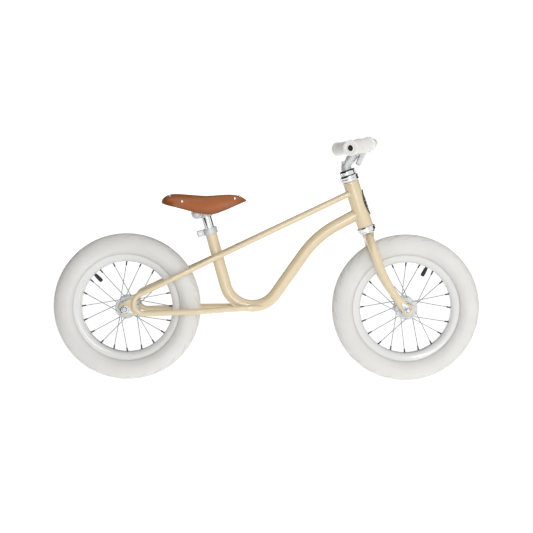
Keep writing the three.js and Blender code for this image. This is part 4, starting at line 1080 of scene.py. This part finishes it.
def makeRails():
    half, foot, top = railSet["half"], railSet["rise"], railSet["base"] - 0.3
    wing = [(-36, 28, top - 3.5), (-12, half, foot), (40, half, foot), (70, 8, top - 3.5)]
    corners = [beside(clampCentre, *point) for point in wing]
    corners += [beside(clampCentre, x, -y, z) for x, y, z in wing[::-1]]
    path = bentLine(corners, [10, 20, 6, 6, 20, 10], 6)
    makePiece("saddle_rail_wire", sweep(path, railSet["radius"], 20), "saddle", "chrome", ["saddle_rails"])
    for hand, side in hands:
        disc = [(4.3, 0.2), (10.6, 0.2), (11.7, 1.2), (11.7, 10.6), (10.9, 11.7), (8.6, 12), (8.2, 11.2), (4.3, 11.2)]
        shape = turned(disc, 0.3, beside(clampCentre, 0, side * railSet["clamp"], 0), sideways * side)
        makePiece(hand + "_rail_clamp", shape, "saddle", "satin", [hand + "_clamp_disc"])


# Stem and bar.
stem = {"quill": 11.1, "corner": 139, "neck": 9.6, "ring": 16, "width": 38, "lugAngle": -133, "lugReach": 32,
        "lugWidth": 20, "lugThickness": 10, "lugOffset": 10.5, "slot": 3, "bolt": 18, "bore": 11.4}


def roundedBox(low, high, edge, toWorld):
    start = low[0] + 1e-3
    corners = [(start, low[1]), (high[0], low[1]), (high[0], high[1]), (start, high[1])]
    outline = rounded(corners, min(high[0] - low[0], high[1] - low[1]) * 0.3, 5)
    return plate([outline], high[2] - low[2], edge, toWorld)


def makeStem():
    angle = math.radians(stem["lugAngle"])
    along = steeringAhead * math.cos(angle) + steeringUp * math.sin(angle)
    front = steeringUp * math.cos(angle) - steeringAhead * math.sin(angle)

    def hang(reach, forward, side):
        return barCentre + (along * reach + front * forward + sideways * side) * mm

    corner = stem["corner"]
    quillTop = corner - 7
    path = bentLine([inSteering(0, 0, corner - 16), inSteering(0, 0, corner), barCentre], [16], 4)
    radii = [stem["quill"] + (stem["neck"] - stem["quill"]) * index / (len(path) - 1) for index in range(len(path))]
    neck = sweep(path, radii, 40)
    quill = lathe([(0, 100), (stem["quill"], 100), (stem["quill"], quillTop), (0, quillTop)], headFoot, steeringUp)
    half = stem["width"] / 2
    ring = rounded([(0, -half), (stem["ring"], -half), (stem["ring"], half), (0, half)], 1.8, 4)
    thick, wide, offset = stem["lugThickness"] / 2, stem["lugWidth"] / 2, stem["lugOffset"]
    lug = roundedBox((4, -wide, offset - thick), (stem["lugReach"], wide, offset + thick), 1.2,
                     lambda x, y, depth: hang(x, offset + depth, y))
    shape = together(neck, quill, lathe(ring, barCentre, sideways, 64, closed=False), lug)
    piece = rawObject("quill_stem", shape)
    fuse(piece, 0.5, 7)
    carve(piece, rod(stem["bore"], -half - 5, half + 5, barCentre, sideways, 64))
    gap = stem["slot"] / 2
    slotMiddle = offset - thick - gap
    slot = [hang(x, slotMiddle + z, y) for x in (0, 50) for y in (-25, 25) for z in (-gap, gap)]
    faces = [[0, 1, 3, 2], [4, 6, 7, 5], [0, 4, 5, 1], [2, 3, 7, 6], [0, 2, 6, 4], [1, 5, 7, 3]]
    carve(piece, (slot, faces))
    face = offset + thick
    carve(piece, rod(5, face - 5, face + 6, hang(stem["bolt"], 0, 0), front))
    carve(piece, rod(8, corner + 4, corner + 24, headFoot, steeringUp, 40))
    markSharp(piece, 40)
    settle(piece, "stem", "satin", ["stem"])
    lower = [(4.4, 56), (stem["quill"], 52), (stem["quill"], 101), (4.4, 101)]
    makePiece("quill_foot", lathe(lower, headFoot, steeringUp), "stem", "chrome")
    socket = [(0, 2.4), (2.3, 2.4), (2.6, 5.0), (3.9, 5.0), (4.5, 4.4), (4.5, 0.3), (3, 0.3), (3, -24), (0, -24)]
    shape = lathe(socket, hang(stem["bolt"], face - 5, 0), front, 36, closed=False)
    makePiece("pinch_bolt", shape, "stem", "zinc", ["stem_clamp_bolt"])
    cap = [(0, corner + 6.5), (3.1, corner + 6.5), (3.4, corner + 9.3), (5.2, corner + 9.3), (5.9, corner + 8.6),
           (5.9, corner + 4.3), (4, corner + 4.3), (4, 62), (0, 62)]
    shape = lathe(cap, headFoot, steeringUp, 36, closed=False)
    makePiece("expander_screw", shape, "stem", "zinc", ["expander_bolt"])


bar = {"radius": 11.1, "straight": 32, "shoulder": (21, 96.6, 11.5), "end": (-34.3, 200, 1.2), "bend": 32}
grip = {"length": 94, "radius": 14, "flange": 15.5, "flangeWidth": 7, "hole": 6, "bore": 11.4}


def makeBar():
    half = [(0, bar["straight"], 0), bar["shoulder"], bar["end"]]
    points = [beside(barCentre, *point) for point in half]
    out = (points[2] - points[1]).normalized()
    points[2] -= out * 6 * mm
    right = [Vector((point.x, 2 * barCentre.y - point.y, point.z)) for point in points]
    path = bentLine(points[::-1] + right, [bar["bend"]] * 4)
    makePiece("bent_handlebar", sweep(path, bar["radius"], 48), "handlebar", "cream", ["handlebar"])
    length, body, flange, width = grip["length"], grip["radius"], grip["flange"], grip["flangeWidth"]
    bore, hole = grip["bore"], grip["hole"]
    profile = [(bore, -length), (flange, -length), (flange, -length + 4.5), (body, -length + 6), (body, -width - 2),
               (flange - 0.4, -width - 1), (flange - 0.4, -width + 0.4), (flange, -width + 1), (flange, 0), (10.2, 0),
               (9.6, -0.7), (hole + 1.4, -0.7), (hole + 0.6, 0), (hole, 0), (hole, -4), (bore, -4)]
    for hand, side in hands:
        way = Vector((out.x, side * out.y, out.z))
        tip = beside(barCentre, bar["end"][0], side * bar["end"][1], bar["end"][2])
        makePiece(hand + "_grip_sleeve", turned(profile, 0.6, tip, way), "handlebar", "grip", [hand + "_grip"])
        makePiece(hand + "_bar_plug", rod(bore - 0.4, -5, -8, tip, way), "handlebar", "black")


makeMainTube()
makeHeadTube()
makeStays()
makeDropouts()
makeBadge()
print("frame made")
makeHeadset()
makeFork()
print("fork made")
for end, centre, body, plateFace, tabAngle, valveAngle in (
        ("rear", rearAxle, "rear_wheel", 42, dropout["tabAngle"], 135),
        ("front", frontAxle, "front_wheel", 43, fork["tabAngle"], 63)):
    makeAxle(end, centre, "frame" if end == "rear" else "fork", plateFace, tabAngle)
    makeTyre(end, centre, body)
    makeRim(end, centre, body, valveAngle)
    makeHub(end, centre, body)
    makeValve(end, centre, body, valveAngle)
print("wheels made")
makeCollar()
makeSeatPost()
makeSaddle()
makeBase()
makeRails()
print("seat made")
makeStem()
makeBar()
print("stem and bar made")

# Inner pieces keep their modelled shape and take their finish here.
keptFinish = {node: "zinc" for node in ("lower_ball_ring", "upper_ball_ring", "expander_wedge")}
for end in ("front", "rear"):
    keptFinish[end + "_inner_tube"] = "black"
    for hand, side in hands:
        keptFinish[f"{hand}_{end}_cone"] = "zinc"
        keptFinish[f"{hand}_{end}_ball_ring"] = "zinc"
for node, finish in keptFinish.items():
    for materialSlot in frame["nodes"][node].material_slots:
        materialSlot.material = finishes[finish]

# Studio.
studio = {"floorSize": 60, "floorGlow": 0.8, "world": 1.0, "key": 19, "fill": 3, "flagShade": "101010"}


def makeFloor():
    verts = [Vector((x, y, 0)) for x, y in ((-1, -1), (1, -1), (1, 1), (-1, 1))]
    floor = rawObject("studio_floor", ([vert * studio["floorSize"] / 2 for vert in verts], [[0, 1, 2, 3]]))
    board = Board("studio_floor_paint")
    drift = board.ramp(board.speckle(0.6, 2.0), 0.3, 0.8)
    colour = board.blend(drift, (0.5, 0.5, 0.5, 1), (0.48, 0.48, 0.48, 1))
    paint = board.finish(Base_Color=colour, Roughness=0.9, Specular_IOR_Level=0.1, Emission_Color=(1, 1, 1, 1),
                         Emission_Strength=studio["floorGlow"])
    floor.data.materials.append(paint)


def makeFlag(name, place, width, height):
    # A dark board out of the picture, for the dark lines that it lends to chrome and paint.
    verts = [Vector((x * width / 2, y * height / 2, 0)) for x, y in ((-1, -1), (1, -1), (1, 1), (-1, 1))]
    flag = rawObject(name, (verts, [[0, 1, 2, 3]]))
    flag.location = place
    flag.rotation_euler = (Vector((0, 0, 0.25)) - Vector(place)).to_track_quat("Z", "Y").to_euler()
    board = Board(name + "_cloth")
    shade = board.blend(board.speckle(40.0), fromHex(studio["flagShade"]), fromHex("262626"))
    flag.data.materials.append(board.finish(Base_Color=shade, Roughness=0.9))
    flag.visible_camera = False


def makeLight(name, place, size, power, shape=(1.0, 1.0)):
    light = bpy.data.lights.new(name, "AREA")
    light.shape = "RECTANGLE"
    light.size, light.size_y = size * shape[0], size * shape[1]
    light.energy = power
    lamp = bpy.data.objects.new(name, light)
    lamp.location = place
    lamp.rotation_euler = (Vector((0, 0, 0.25)) - Vector(place)).to_track_quat("-Z", "Y").to_euler()
    bpy.context.scene.collection.objects.link(lamp)


def makeStudio():
    world = bpy.data.worlds.new("studio")
    world.use_nodes = True
    backdrop = world.node_tree.nodes["Background"]
    backdrop.inputs["Color"].default_value = (1, 1, 1, 1)
    backdrop.inputs["Strength"].default_value = studio["world"]
    bpy.context.scene.world = world
    makeLight("key", (0.3, -2.9, 0.9), 1.0, studio["key"], (0.34, 2.4))
    makeLight("fill", (-0.9, -1.3, 1.9), 0.6, studio["fill"], (1.2, 0.8))
    makeFlag("left_flag", (-1.5, -0.5, 0.9), 3.4, 3.2)
    makeFlag("right_flag", (2.2, 0.7, 0.9), 1.8, 2.4)
    makeFlag("back_flag", (-0.4, 2.3, 1.6), 4.6, 2.2)


def makeCamera():
    view = {"pitch": 5.6, "distance": 2.46, "aim": (0, 0, 0.247), "roll": 0.25, "lens": 76.9}
    camera = bpy.data.cameras.new("camera")
    camera.lens = view["lens"]
    camera.sensor_width = 36
    eye = bpy.data.objects.new("camera", camera)
    pitch = math.radians(view["pitch"])
    eye.location = Vector(view["aim"]) + Vector((0, -math.cos(pitch), math.sin(pitch))) * view["distance"]
    turn = Matrix.Rotation(math.pi / 2 - pitch, 4, "X") @ Matrix.Rotation(math.radians(view["roll"]), 4, "Z")
    eye.rotation_euler = turn.to_euler()
    bpy.context.scene.collection.objects.link(eye)
    bpy.context.scene.camera = eye


makeFloor()
makeStudio()
makeCamera()
bpy.context.scene.view_settings.view_transform = "Standard"
print("studio made")
